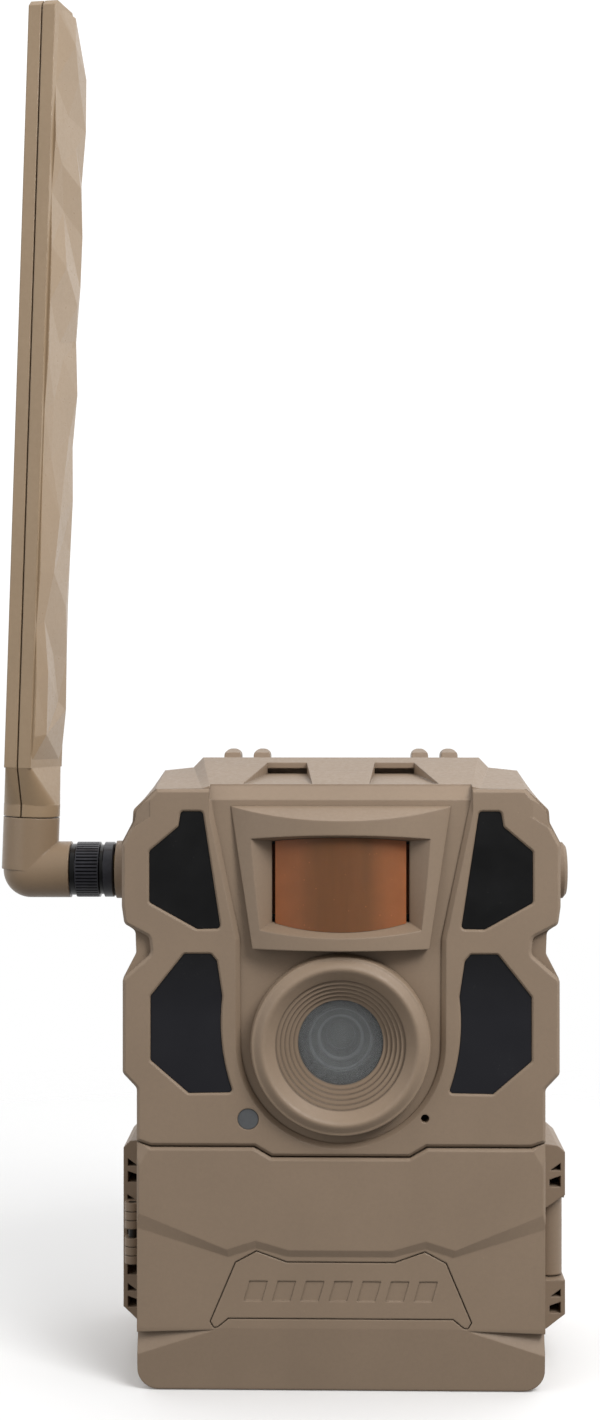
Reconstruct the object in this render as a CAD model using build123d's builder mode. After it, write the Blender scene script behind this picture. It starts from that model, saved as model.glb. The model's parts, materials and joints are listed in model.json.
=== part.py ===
from build123d import *
import math
import os

# Cellular trail camera: two housing halves, a battery door on a hinge, a side latch, a lens and motion
# sensor behind the face, a battery tray and a control panel behind the door, and a paddle antenna.
# Millimetres. X is to the right as the camera is looked at, Y runs from front to back and Z is up.
# The origin is the mouth of the tripod socket, in the middle of the flat base.

# ---- Driving dimensions ------------------------------------------------------------------------------

FRONT = -36.0  # front plane of the face and of the door
PARTING = -12.0  # plane where the front and rear housings meet
BACK = 34.0  # back of the rear housing, not counting the strap rails
WALL = 2.4
GAP = 0.4  # visible gap between the door and the housings
FACE_BACK = -32.0  # inside of the face wall
PANEL_STEP = 1.6  # how far the centre shield lies behind the side plates
PLATE_BACK = -33.6  # back of the sculpted front plate

HALF_WIDTH = 49.0  # half width of the door and of the lower block
DOOR_TOP = 56.6
DOOR_BOTTOM = 0.3
DOOR_BACK = PARTING - 0.3
DOOR_WALL = 3.0
LIP = 1.6  # thickness of the door's rain lip
TOP_FRONT = 145.0  # top edge of the face

LENS_Z = 84.0
SHROUD_R = 21.6
SHIELD_R = 24.1
PIR_Z = 123.7
SOCKET_R = 3.175  # major radius of a 1/4 in tripod thread
SOCKET_LENGTH = 7.0

HINGE_X, HINGE_Y = -52.2, -14.2
HINGE_PIN_R = 1.0
LATCH_X, LATCH_Y = 52.6, -8.4
LATCH_PIN_R = 1.25
RUNNING = 0.05  # radial clearance of the moving fits

PORT_Z = 122.9  # height of the antenna connector and of the power port, both at Y 0
NUT_RIGHT, NUT_LEFT = -57.9, -69.2
NECK_X = -79.8  # where the elbow turns up
BLADE_SEAM_Z = 136.4  # height of the seam between the elbow and the blade
BLADE_LEAN = 2.0  # degrees that the blade leans to the right
BLADE_TURN = -14.0  # degrees that the blade is turned about its own length
BLADE_LENGTH = 207.2
BLADE_WIDTH = 21.0
BLADE_THICKNESS = 7.2
NECK_R = 7.2

CELL_R = 7.0
CELL_PITCH = 14.15
CELL_LENGTH = 48.5
TRAY_LEFT, TRAY_RIGHT = -45.8, 10.8
TRAY_FRONT, TRAY_BACK = -28.4, 30.6
TRAY_BOTTOM, TRAY_TOP = 8.8, 53.4
TRAY_WALL = 1.2

BUTTON_R = 2.6
BUTTON_CENTRES = {
    "button_up": (27.0, 31.0),
    "button_down": (27.0, 18.0),
    "button_left": (20.5, 24.5),
    "button_right": (33.5, 24.5),
    "button_ok": (27.0, 24.5),
}
CONTROL_FRONT = -16.0  # front of the control panel
CARD_X, CARD_Z = 42.0, 41.0
SIM_X, SIM_Z = 42.0, 17.0
SWITCH_X, SWITCH_Z = 23.0, 9.5

RAIL_X = 25.5  # centre of each strap rail
RAIL_RIBS = (21.5, 29.5)
RIB_WIDTH = 4.5
RAIL_BACK = 43.0
SLOT_DEPTH = 4.9
SLOT_CENTRES = (34.0, 106.0)
SLOT_HEIGHT = 28.0

os.makedirs("parts", exist_ok=True)


# ---- Helpers -----------------------------------------------------------------------------------------


def at_depth(y):
    """The XZ plane at depth y, facing the front; extruding from it goes towards the front."""
    return Plane.XZ.offset(-y)


def both_sides(half):
    """A closed outline from its right half, listed from the bottom to the top."""
    return half + [(-x, z) for x, z in reversed(half)]


def rounded(points, radius, low=-1.0, high=200.0):
    """An outline whose corners between two heights are rounded."""
    with BuildSketch() as outline:
        Polygon(*points, align=None)
        corners = outline.vertices().filter_by(lambda corner: low < corner.Y < high)
        fillet(corners, radius)
    return outline.sketch


def flipped(points):
    """The same outline on the other side of the middle plane."""
    return [(-x, z) for x, z in points]


def save(piece, node):
    """Label a finished piece and write it as its own file."""
    piece.part.label = node
    export_step(piece.part, f"parts/{node}.step")


def facet_plane(a, b, c):
    """The plane through three points whose normal points to the front of the body."""
    a, b, c = Vector(*a), Vector(*b), Vector(*c)
    normal = (b - a).cross(c - a).normalized()
    if normal.Y > 0:
        normal = normal * -1
    return Plane(origin=a, z_dir=normal)


# ---- Outlines ----------------------------------------------------------------------------------------

GUARD_SIDE = [(49.0, 73.2), (52.4, 76.8), (52.4, 99.5)]

# Face plate: its waist is cut in deeper than the shell behind it.
PLATE_SIDE = GUARD_SIDE + [
    (45.6, 105.5),
    (46.0, 109.5),
    (52.0, 112.6),
    (52.6, 116.8),
    (52.6, 131.6),
    (49.6, 137.2),
    (49.2, 139.8),
    (44.2, TOP_FRONT),
]
PLATE_NOTCHED = both_sides([(16.5, DOOR_TOP + GAP), (20.6, 59.4), (45.6, 59.4), (49.0, 60.6)] + PLATE_SIDE)
PLATE_FLAT = both_sides([(HALF_WIDTH, DOOR_TOP + GAP)] + PLATE_SIDE)

# Three sections of the upper shell, front to back.
SHELL_LOW = [(HALF_WIDTH, DOOR_TOP + GAP)] + GUARD_SIDE + [(49.3, 105.5), (49.5, 110.8), (52.2, 112.6)]
SHELL_FRONT = SHELL_LOW + [
    (52.8, 116.8),
    (52.8, 132.0),
    (50.2, 137.0),
    (50.0, 140.0),
    (44.6, 145.0),
    (33.5, 145.1),
    (31.6, 145.6),
]
SHELL_CREST = SHELL_LOW + [
    (52.8, 116.8),
    (53.0, 131.5),
    (51.6, 137.0),
    (50.6, 141.4),
    (46.0, 148.2),
    (38.5, 149.0),
    (36.0, 151.6),
]
SHELL_REAR = [
    (HALF_WIDTH, DOOR_TOP + GAP),
    (48.4, 73.2),
    (51.2, 76.8),
    (51.2, 99.5),
    (48.5, 105.5),
    (48.6, 110.8),
    (51.2, 112.6),
    (52.0, 116.8),
    (52.2, 130.0),
    (50.6, 135.6),
    (49.6, 139.8),
    (45.0, 146.2),
    (38.0, 147.0),
    (35.5, 149.6),
]
CREST_Y = 8.0
CORNER_R = 1.6  # rounding of the upper housing's outline
FOOT_R = 5.0  # rounding of the bottom corners

UPPER_CAVITY = both_sides([
    (46.6, DOOR_TOP + GAP + WALL),
    (46.6, 102.4),
    (43.9, 105.0),
    (43.9, 110.6),
    (46.6, 113.2),
    (46.6, 136.0),
    (41.0, 141.5),
])
LOWER_BLOCK = both_sides([(HALF_WIDTH, 0.0), (HALF_WIDTH, DOOR_TOP + GAP)])
LOWER_CAVITY = both_sides([(43.6, 2.6), (46.6, 5.8), (46.6, 54.8)])

DOOR_PLATE = both_sides([(HALF_WIDTH, DOOR_BOTTOM), (HALF_WIDTH, DOOR_TOP)])
DOOR_LIP = both_sides([
    (44.5, 30.0),
    (HALF_WIDTH, 30.0),
    (49.0, 60.2),
    (45.6, 59.0),
    (20.8, 59.0),
    (16.6, DOOR_TOP),
])
DOOR_CAVITY = both_sides([(43.6, 2.8), (46.6, 6.0), (46.6, 54.2)])
# The door's lower panel is let in; a wide bevel leads down to it from the upper outline.
PANEL_UPPER = both_sides([(53.0, -4.0), (53.0, 45.0), (27.4, 34.6), (20.4, 36.8), (12.4, 34.5)])
PANEL_LOWER = both_sides([(53.0, -4.0), (53.0, 40.8), (27.0, 32.6), (20.4, 34.7), (12.6, 32.7)])
BADGE = both_sides([
    (27.0, 18.0),
    (29.6, 15.9),
    (30.4, 15.8),
    (31.2, 17.1),
    (25.2, 31.2),
    (20.2, 33.9),
    (13.0, 31.3),
])

UPPER_WINDOW = [
    (33.1, 139.7),
    (38.4, 139.7),
    (39.0, 136.0),
    (46.0, 130.1),
    (46.0, 117.8),
    (34.5, 111.4),
    (28.8, 111.5),
]
LOWER_WINDOW_OUTER = [
    (29.7, 103.8),
    (31.1, 105.5),
    (37.6, 105.5),
    (45.7, 95.3),
    (45.7, 79.9),
    (36.5, 72.0),
    (25.8, 72.2),
]
LOWER_WINDOW_ARC = [(25.8, 72.2), (28.5, 83.8), (28.4, 95.3)]


def upper_window(side, grow=0.0):
    """Upper window outline on one side (1 right, -1 left), grown by the given amount."""
    with BuildSketch() as outline:
        Polygon(*UPPER_WINDOW, align=None)
        fillet(outline.vertices(), 0.9)
        if side < 0:
            mirror(about=Plane.YZ, mode=Mode.REPLACE)
        offset(amount=grow)
    return outline.sketch


def lower_window(side, grow=0.0):
    """Lower window outline, whose inner edge is an arc about the lens."""
    with BuildSketch() as outline:
        with BuildLine():
            Polyline(*LOWER_WINDOW_OUTER)
            ThreePointArc(*LOWER_WINDOW_ARC)
            Line(LOWER_WINDOW_ARC[-1], LOWER_WINDOW_OUTER[0])
        make_face()
        fillet(outline.vertices(), 0.8)
        if side < 0:
            mirror(about=Plane.YZ, mode=Mode.REPLACE)
        offset(amount=grow)
    return outline.sketch


WINDOWS = {"led_windows_upper": upper_window, "led_windows_lower": lower_window}
SIDES = (1, -1)

# ---- Upper shell, shared by the two housings ---------------------------------------------------------

with BuildPart() as upper_shell:
    for half, depth in ((SHELL_FRONT, PLATE_BACK), (SHELL_CREST, CREST_Y), (SHELL_REAR, BACK)):
        with BuildSketch(at_depth(depth)):
            add(rounded(both_sides(half), CORNER_R, low=70.0, high=144.0))
    loft(ruled=True)
    # Two shallow dishes in the top, each ending at a slot.
    DISH_FRONT, DISH_BACK, DISH_SLOT = -30.0, 0.0, 4.0
    with BuildSketch(Plane.XY.offset(140.0)) as dishes:
        for side in (1, -1):
            Polygon(
                (side * 6.9, DISH_FRONT),
                (side * 23.8, DISH_FRONT),
                (side * 18.9, DISH_BACK),
                (side * 8.7, DISH_BACK),
                align=None,
            )
    with BuildSketch(Plane.YZ) as ramp:
        floor = [(DISH_FRONT, 145.7), (DISH_BACK, 147.6)]
        Polygon(*floor, (DISH_BACK, 152.0), (DISH_FRONT, 152.0), align=None)
    dish_walls = extrude(dishes.sketch, amount=15.0, mode=Mode.PRIVATE)
    dish_ramp = extrude(ramp.sketch, amount=30.0, both=True, mode=Mode.PRIVATE)
    add(dish_walls & dish_ramp, mode=Mode.SUBTRACT)
    with Locations((13.8, DISH_SLOT / 2, 148.3), (-13.8, DISH_SLOT / 2, 148.3)):
        Box(10.2, DISH_SLOT, 1.4, mode=Mode.SUBTRACT)

# ---- Housing hardware positions ----------------------------------------------------------------------

SCREW_POSTS = [(45.0, 66.5), (-45.0, 66.5), (43.6, 133.2), (-43.6, 133.2)]
BOARD_POSTS = [(26.0, 68.0), (-26.0, 68.0), (26.0, 137.6), (-26.0, 137.6)]
BOARD_FRONT, BOARD_BACK = -9.6, -8.0
LED_PEGS = [(36.0, 108.5), (33.0, 69.4), (-36.0, 108.5), (-33.0, 69.4)]
LED_BOARD_FRONT = -29.8
SENSOR_XZ = (-22.2, 65.9)
MIC_XZ = (20.2, 66.2)

# ---- Front housing -----------------------------------------------------------------------------------

with BuildPart() as front_housing:
    add(upper_shell.part)
    split(bisect_by=at_depth(PARTING), keep=Keep.TOP)
    # Sculpted face plate, notched at the bottom so that the door's rain lip laps over it.
    with BuildSketch(at_depth(PLATE_BACK)):
        add(rounded(PLATE_FLAT, CORNER_R, low=70.0, high=144.0))
    extrude(amount=PLATE_BACK - (FRONT + LIP + GAP))
    with BuildSketch(at_depth(FRONT + LIP + GAP)):
        add(rounded(PLATE_NOTCHED, CORNER_R, low=70.0, high=144.0))
    extrude(amount=LIP + GAP)
    face_edges = front_housing.faces().sort_by(Axis.Y)[0].edges()
    chamfer(face_edges, 0.7)
    # The top outer corners fall back beyond a diagonal crease.
    for side in SIDES:
        with BuildPart(mode=Mode.PRIVATE) as corner:
            with BuildSketch(at_depth(PLATE_BACK)):
                Polygon(
                    (side * 45.8, 138.4),
                    (side * 54.0, 133.2),
                    (side * 54.0, 150.0),
                    (side * 45.8, 150.0),
                    align=None,
                )
            extrude(amount=6.0)
            inner_low, inner_high = (side * 45.8, -35.9, 138.0), (side * 45.8, -35.9, 146.0)
            split(bisect_by=facet_plane(inner_low, inner_high, (side * 51.0, -34.2, 138.0)), keep=Keep.TOP)
        add(corner.part, mode=Mode.SUBTRACT)
    # Centre shield: a tapered panel over a disc round the lens, let into the face.
    with BuildSketch(at_depth(FRONT)):
        Polygon((31.6, 150.0), (31.6, 144.2), (24.2, 109.0), (SHIELD_R, LENS_Z), (-SHIELD_R, LENS_Z),
                (-24.2, 109.0), (-31.6, 144.2), (-31.6, 150.0), align=None)
        with Locations((0, LENS_Z)):
            Circle(SHIELD_R)
    extrude(amount=-PANEL_STEP, mode=Mode.SUBTRACT)
    shield_edges = [
        edge
        for edge in front_housing.edges(Select.LAST)
        if abs(edge.center().Y - FRONT) < 0.01 and edge.center().Z < 144.0
    ]
    chamfer(shield_edges, 1.1)
    # Sloping strip along the top of the shield.
    with BuildSketch(Plane.YZ):
        Polygon((-40.0, 142.4), (FRONT + PANEL_STEP, 142.4), (-30.8, 145.7), (-30.8, 150.0), (-40.0, 150.0),
                align=None)
    extrude(amount=31.6, both=True, mode=Mode.SUBTRACT)
    # Inside.
    with BuildSketch(at_depth(PARTING)):
        Polygon(*UPPER_CAVITY, align=None)
    extrude(amount=PARTING - FACE_BACK, mode=Mode.SUBTRACT)
    # Posts for the housing screws, the main board and the light boards.
    with BuildSketch(at_depth(PARTING)):
        with Locations(*SCREW_POSTS):
            Circle(3.6)
    extrude(amount=14.0)
    with BuildSketch(at_depth(BOARD_FRONT)):
        with Locations(*BOARD_POSTS):
            Circle(2.4)
    extrude(amount=BOARD_FRONT - FACE_BACK)
    with BuildSketch(at_depth(LED_BOARD_FRONT)):
        with Locations(*LED_PEGS):
            Circle(1.3)
    extrude(amount=LED_BOARD_FRONT - FACE_BACK)
    with BuildSketch(at_depth(PARTING)):
        with Locations(*SCREW_POSTS):
            Circle(1.5)
    extrude(amount=12.5, mode=Mode.SUBTRACT)
    with BuildSketch(at_depth(BOARD_FRONT)):
        with Locations(*BOARD_POSTS):
            Circle(1.1)
    extrude(amount=9.0, mode=Mode.SUBTRACT)
    # Openings in the face.
    with BuildSketch(at_depth(FACE_BACK)):
        with Locations((0, LENS_Z)):
            Circle(20.0)
        with Locations((0, PIR_Z)):
            Rectangle(39.0, 28.0)
        with Locations(SENSOR_XZ):
            Circle(2.55)
        with Locations(MIC_XZ):
            Circle(1.0)
    extrude(amount=8.0, mode=Mode.SUBTRACT)
    for outline in WINDOWS.values():
        with BuildSketch(at_depth(FACE_BACK)):
            for side in SIDES:
                add(outline(side))
        extrude(amount=8.0, mode=Mode.SUBTRACT)
        rim = [edge for edge in front_housing.edges(Select.LAST) if abs(edge.center().Y - FRONT) < 0.01]
        chamfer(rim, 0.4)
        with BuildSketch(at_depth(FACE_BACK)):
            for side in SIDES:
                add(outline(side, grow=0.5))
        extrude(amount=1.6, mode=Mode.SUBTRACT)
save(front_housing, "front_housing")

# ---- Rear housing ------------------------------------------------------------------------------------

GUARD_OUTER = 56.0
GUARD_BACK = 14.0
GUARD_RIM = [(51.4, 9.6), (GUARD_OUTER, 13.2), (GUARD_OUTER, 53.6), (54.2, 55.2)]
GUARD = [(48.0, 8.0)] + GUARD_RIM + [(48.0, 56.0)]
HINGE_GUARD = [(48.0, 8.0), (50.6, 9.6), (54.8, 13.6), (54.8, 53.6), (53.2, 55.2), (48.0, 56.0)]
LATCH_GUARD = [(HALF_WIDTH + GAP, 8.6)] + GUARD_RIM + [(HALF_WIDTH + GAP, 55.8)]
POCKET_DEPTH = 14.0
POCKET_TOPS = (50.9, 19.4)
MIDDLE_BOTTOM, MIDDLE_TOP = 21.6, 41.8
HINGE_FRONT = PARTING + 0.6  # the hinge-side guard starts behind the door's swing
LATCH_FRONT = -14.4
STRUT_BACK = -12.4
WEB_HEIGHT = 2.0
WEB_PITCH = 4.4
WEB_CENTRES = [26.4 + WEB_PITCH * i for i in range(4)]
DOOR_KNUCKLES = (WEB_CENTRES[0] + WEB_PITCH / 2, WEB_CENTRES[2] + WEB_PITCH / 2)
KNUCKLE_R = 2.0

with BuildPart() as rear_housing:
    add(upper_shell.part)
    split(bisect_by=at_depth(PARTING), keep=Keep.BOTTOM)
    # Lower block, which holds the batteries and stands on its flat base.
    with BuildSketch(at_depth(BACK)):
        add(rounded(LOWER_BLOCK, FOOT_R, high=8.0))
    extrude(amount=BACK - PARTING)
    # Side guards.
    with BuildSketch(at_depth(GUARD_BACK)):
        Polygon(*flipped(HINGE_GUARD), align=None)
    extrude(amount=GUARD_BACK - HINGE_FRONT)
    with BuildSketch(at_depth(GUARD_BACK)):
        Polygon(*GUARD, align=None)
    extrude(amount=GUARD_BACK - PARTING)
    with BuildSketch(at_depth(PARTING)):
        Polygon(*LATCH_GUARD, align=None)
    extrude(amount=PARTING - LATCH_FRONT)
    # Pockets in the guards: a small triangle over a square, with a slanted rib between them.
    for front, side, outer in ((HINGE_FRONT, -1, 53.7), (LATCH_FRONT, 1, 54.9)):
        with BuildSketch(at_depth(front)):
            for top in POCKET_TOPS:
                with Locations((side * outer, top)):
                    Polygon((0.0, 0.0), (0.0, -1.9), (-2.6 * side, -1.9), align=None)
                    Polygon(
                        (0.0, -3.2),
                        (0.0, -6.0),
                        (-2.8 * side, -6.0),
                        (-2.8 * side, -4.2),
                        align=None,
                    )
        extrude(amount=-POCKET_DEPTH, mode=Mode.SUBTRACT)
    # Hinge bay and latch bay.
    with BuildSketch(at_depth(-4.0)):
        Polygon(
            (-53.8, MIDDLE_BOTTOM),
            (-49.4, MIDDLE_BOTTOM),
            (-49.4, 39.0),
            (-53.8, MIDDLE_TOP),
            align=None,
        )
    extrude(amount=12.0, mode=Mode.SUBTRACT)
    with BuildSketch(at_depth(10.0)):
        with Locations((53.05, (MIDDLE_BOTTOM + MIDDLE_TOP) / 2)):
            Rectangle(7.9, MIDDLE_TOP - MIDDLE_BOTTOM)
    extrude(amount=10.0 - STRUT_BACK, mode=Mode.SUBTRACT)
    with BuildSketch(at_depth(STRUT_BACK)):
        Polygon((49.1, MIDDLE_BOTTOM), (57.0, MIDDLE_BOTTOM), (57.0, 43.6), (49.1, 38.2), align=None)
    extrude(amount=4.0, mode=Mode.SUBTRACT)
    # Hinge webs.
    for height in WEB_CENTRES:
        with BuildSketch(Plane.XY.offset(height - WEB_HEIGHT / 2)):
            with Locations((HINGE_X, HINGE_Y)):
                Circle(KNUCKLE_R)
            with Locations((HINGE_X, (HINGE_Y - 3.8) / 2)):
                Rectangle(2 * KNUCKLE_R, -HINGE_Y - 3.8)
        extrude(amount=WEB_HEIGHT)
    # Strap rails on the back, with ribs standing above the top.
    with BuildPart(mode=Mode.PRIVATE) as ribs:
        with BuildSketch(Plane.YZ.offset(-40.0)):
            Polygon(
                (BACK - 6.0, 8.0),
                (RAIL_BACK - 4.0, 8.0),
                (RAIL_BACK, 14.0),
                (RAIL_BACK, 144.0),
                (RAIL_BACK - 4.0, 152.4),
                (RAIL_BACK - 7.0, 153.4),
                (BACK - 4.0, 152.4),
                (BACK - 6.0, 147.0),
                align=None,
            )
        extrude(amount=80.0)
        with BuildSketch(at_depth(RAIL_BACK + 1.0)) as rib_fronts:
            with Locations(*[(side * x, 80.0) for side in SIDES for x in RAIL_RIBS]):
                Rectangle(RIB_WIDTH, 146.8)
            fillet(rib_fronts.vertices().group_by(Axis.Y)[-1], 1.9)
        extrude(amount=20.0, mode=Mode.INTERSECT)
    add(ribs.part)
    with BuildSketch(at_depth(BACK + 3.6)):
        with Locations((RAIL_X, 79.0), (-RAIL_X, 79.0)):
            Rectangle(2 * (RAIL_RIBS[1] - RAIL_X), 136.0)
    extrude(amount=3.6)
    # Teeth that bite the bark.
    TOOTH_PITCH = 6.0
    for step in range(8):
        with BuildSketch(Plane.YZ.offset(-40.0)):
            height = 49.0 + TOOTH_PITCH * step
            tooth = [(RAIL_BACK - 2.0, height), (RAIL_BACK + 1.0, height), (RAIL_BACK + 1.0, height + 4.0)]
            Polygon(*tooth, align=None)
        extrude(amount=80.0, mode=Mode.SUBTRACT)
    # Strap slots, right through the rails from side to side.
    for height in SLOT_CENTRES:
        with Locations((0, BACK + SLOT_DEPTH / 2, height)):
            Box(80.0, SLOT_DEPTH, SLOT_HEIGHT, mode=Mode.SUBTRACT)
    # Round bosses for the antenna connector and the power port.
    with BuildSketch(Plane.YZ.offset(NUT_RIGHT + 0.3)):
        with Locations((0, PORT_Z)):
            Circle(7.4)
    extrude(amount=8.6)
    with BuildSketch(Plane.YZ.offset(49.0)):
        with Locations((0, PORT_Z)):
            Circle(7.9)
    extrude(amount=5.2)
    # Inside: an upper bay for the electronics and a lower bay for the batteries.
    with BuildSketch(at_depth(BACK - WALL)):
        Polygon(*UPPER_CAVITY, align=None)
        Polygon(*LOWER_CAVITY, align=None)
    extrude(amount=BACK - WALL - PARTING + 2.0, mode=Mode.SUBTRACT)
    # Tunnels for the housing screws.
    with BuildSketch(at_depth(BACK)):
        with Locations(*SCREW_POSTS):
            Circle(3.7)
    extrude(amount=BACK - PARTING)
    with BuildSketch(at_depth(BACK + 1.0)):
        with Locations(*SCREW_POSTS):
            Circle(2.9)
    extrude(amount=BACK + 1.0 + 4.0, mode=Mode.SUBTRACT)
    with BuildSketch(at_depth(0.0)):
        with Locations(*SCREW_POSTS):
            Circle(1.6)
    extrude(amount=-PARTING + 1.0, mode=Mode.SUBTRACT)
    # Boss for the tripod insert, and its mouth in the base.
    with BuildSketch(Plane.XY):
        Circle(8.0)
    extrude(amount=8.4)
    with BuildSketch(Plane.XY):
        Circle(5.0)
    extrude(amount=SOCKET_LENGTH, mode=Mode.SUBTRACT)
    # Holes for the connector, the power jack, and both pins.
    with BuildSketch(Plane.YZ.offset(-60.0)):
        with Locations((0, PORT_Z)):
            Circle(3.9)
    extrude(amount=16.0, mode=Mode.SUBTRACT)
    with BuildSketch(Plane.YZ.offset(60.0)):
        with Locations((0, PORT_Z)):
            Circle(4.6)
    extrude(amount=-16.0, mode=Mode.SUBTRACT)
    with BuildSketch(Plane.XY.offset(21.0)):
        with Locations((HINGE_X, HINGE_Y)):
            Circle(HINGE_PIN_R)
    extrude(amount=20.0, mode=Mode.SUBTRACT)
    with BuildSketch(Plane.XY.offset(20.0)):
        with Locations((LATCH_X, LATCH_Y)):
            Circle(LATCH_PIN_R)
    extrude(amount=23.2, mode=Mode.SUBTRACT)
    # Grooves for the two gaskets in the front rim.
    with BuildSketch(at_depth(PARTING + 1.0)):
        for outline in (UPPER_CAVITY, LOWER_CAVITY):
            with BuildSketch(mode=Mode.PRIVATE) as opening:
                Polygon(*outline, align=None)
            offset(opening.sketch, amount=1.7, mode=Mode.ADD)
            offset(opening.sketch, amount=0.5, mode=Mode.SUBTRACT)
    extrude(amount=1.0, mode=Mode.SUBTRACT)
save(rear_housing, "rear_housing")

with BuildPart() as housing_gasket:
    with BuildSketch(at_depth(PARTING + 1.0)):
        Polygon(*UPPER_CAVITY, align=None)
        offset(amount=1.6)
        with BuildSketch(mode=Mode.PRIVATE) as inner_edge:
            Polygon(*UPPER_CAVITY, align=None)
            offset(amount=0.6)
        add(inner_edge.sketch, mode=Mode.SUBTRACT)
    extrude(amount=1.0)
save(housing_gasket, "housing_gasket")

with BuildPart() as door_gasket:
    with BuildSketch(at_depth(PARTING + 1.0)):
        Polygon(*LOWER_CAVITY, align=None)
        offset(amount=1.6)
        with BuildSketch(mode=Mode.PRIVATE) as inner_edge:
            Polygon(*LOWER_CAVITY, align=None)
            offset(amount=0.6)
        add(inner_edge.sketch, mode=Mode.SUBTRACT)
    extrude(amount=1.2)
save(door_gasket, "door_gasket")

with BuildPart() as tripod_insert:
    with BuildSketch(Plane.XY):
        Circle(5.0)
        Circle(SOCKET_R, mode=Mode.SUBTRACT)
    extrude(amount=SOCKET_LENGTH)
save(tripod_insert, "tripod_insert")

with BuildPart() as housing_screws:
    with BuildSketch(at_depth(-1.6)):
        with Locations(*SCREW_POSTS):
            Circle(2.7)
            RegularPolygon(1.3, 6, mode=Mode.SUBTRACT)
    extrude(amount=2.0)
    with BuildSketch(at_depth(-3.4)):
        with Locations(*SCREW_POSTS):
            Circle(2.7)
    extrude(amount=0.6)
    with BuildSketch(at_depth(-4.0)):
        with Locations(*SCREW_POSTS):
            Circle(1.5)
    extrude(amount=18.0)
save(housing_screws, "housing_screws")

# ---- Door, hinge and latch ---------------------------------------------------------------------------

PANEL_DROP = 0.9
PANEL_FRONT = FRONT + PANEL_DROP
SLOPE_TOP = 15.5
BADGE_DEPTH = 0.7

with BuildPart() as door:
    with BuildSketch(at_depth(DOOR_BACK)):
        add(rounded(DOOR_PLATE, FOOT_R, high=8.0))
    extrude(amount=DOOR_BACK - FRONT)
    with BuildSketch(at_depth(FRONT + LIP)):
        Polygon(*DOOR_LIP, align=None)
    extrude(amount=LIP)
    chamfer(door.faces().sort_by(Axis.Y)[0].edges(), 0.6)
    # Lower panel, let in behind a wide bevel.
    with BuildSketch(at_depth(FRONT)):
        Polygon(*PANEL_UPPER, align=None)
    with BuildSketch(at_depth(PANEL_FRONT)):
        Polygon(*PANEL_LOWER, align=None)
    loft(ruled=True, mode=Mode.SUBTRACT)
    # The bottom slopes back and the top corners are bevelled.
    slope = facet_plane((0, PANEL_FRONT, SLOPE_TOP), (20, PANEL_FRONT, SLOPE_TOP), (0, -33.4, 0.0))
    split(bisect_by=slope, keep=Keep.BOTTOM)
    for side in SIDES:
        head = facet_plane((side * 45.6, FRONT, 59.2), (side * 49, FRONT, 53.5), (side * 49, -34.9, 60.2))
        split(bisect_by=head, keep=Keep.BOTTOM)
    # Hollow, with a thicker wall at the bottom corners, where a ledge is cut in on each side.
    with BuildPart(mode=Mode.PRIVATE) as hollow:
        with BuildSketch(at_depth(DOOR_BACK)):
            Polygon(*DOOR_CAVITY, align=None)
        extrude(amount=DOOR_BACK - FRONT - DOOR_WALL)
        split(bisect_by=slope.offset(-DOOR_WALL), keep=Keep.BOTTOM)
        with Locations((38.0, -35.2, 7.5), (-38.0, -35.2, 7.5)):
            Box(24.0, 9.6, 20.0, mode=Mode.SUBTRACT)
    add(hollow.part, mode=Mode.SUBTRACT)
    for side in SIDES:
        ledge = facet_plane((side * 30, PANEL_FRONT, 15.0), (side * 49, -32.0, 14.4), (side * 49, -34.4, 8.8))
        with BuildPart(mode=Mode.PRIVATE) as notch:
            with BuildSketch(at_depth(-30.5)):
                Polygon(
                    (side * 29.0, 15.1),
                    (side * 50.0, 14.4),
                    (side * 50.0, 6.0),
                    (side * 29.0, 6.0),
                    align=None,
                )
            extrude(amount=6.0)
            split(bisect_by=ledge, keep=Keep.TOP)
        add(notch.part, mode=Mode.SUBTRACT)
    # Shallow pocket for the badge.
    with BuildSketch(at_depth(PANEL_FRONT + BADGE_DEPTH)):
        Polygon(*BADGE, align=None)
        offset(amount=0.3)
    extrude(amount=BADGE_DEPTH + 1.0, mode=Mode.SUBTRACT)
    # Hinge arms.
    for height in DOOR_KNUCKLES:
        with BuildSketch(Plane.XY.offset(height - WEB_HEIGHT / 2)):
            with Locations((HINGE_X, HINGE_Y)):
                Circle(KNUCKLE_R)
            with Locations(((HINGE_X - 48.0) / 2, HINGE_Y)):
                Rectangle(-HINGE_X - 48.0, KNUCKLE_R)
            with Locations((HINGE_X, HINGE_Y)):
                Circle(HINGE_PIN_R + RUNNING, mode=Mode.SUBTRACT)
        extrude(amount=WEB_HEIGHT)
save(door, "door")

BAR_COUNT = 7
BAR_PITCH = 6.8

with BuildPart() as door_badge:
    with BuildSketch(at_depth(PANEL_FRONT + BADGE_DEPTH)):
        Polygon(*BADGE, align=None)
    extrude(amount=BADGE_DEPTH)
    # A plain row of slanted bars across the middle.
    with BuildSketch(at_depth(PANEL_FRONT + 0.3)):
        for bar in range(BAR_COUNT):
            with Locations(((bar - (BAR_COUNT - 1) / 2) * BAR_PITCH, 24.5)):
                Polygon((-2.9, -2.4), (1.5, -2.4), (2.9, 2.4), (-1.5, 2.4), align=None)
    extrude(amount=1.0, mode=Mode.SUBTRACT)
save(door_badge, "door_badge")

with BuildPart() as hinge_pin:
    with BuildSketch(Plane.XY.offset(25.0)):
        with Locations((HINGE_X, HINGE_Y)):
            Circle(HINGE_PIN_R)
    extrude(amount=15.6)
save(hinge_pin, "hinge_pin")

with BuildPart() as latch_pin:
    with BuildSketch(Plane.XY.offset(20.2)):
        with Locations((LATCH_X, LATCH_Y)):
            Circle(LATCH_PIN_R)
    extrude(amount=22.8)
save(latch_pin, "latch_pin")

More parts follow.
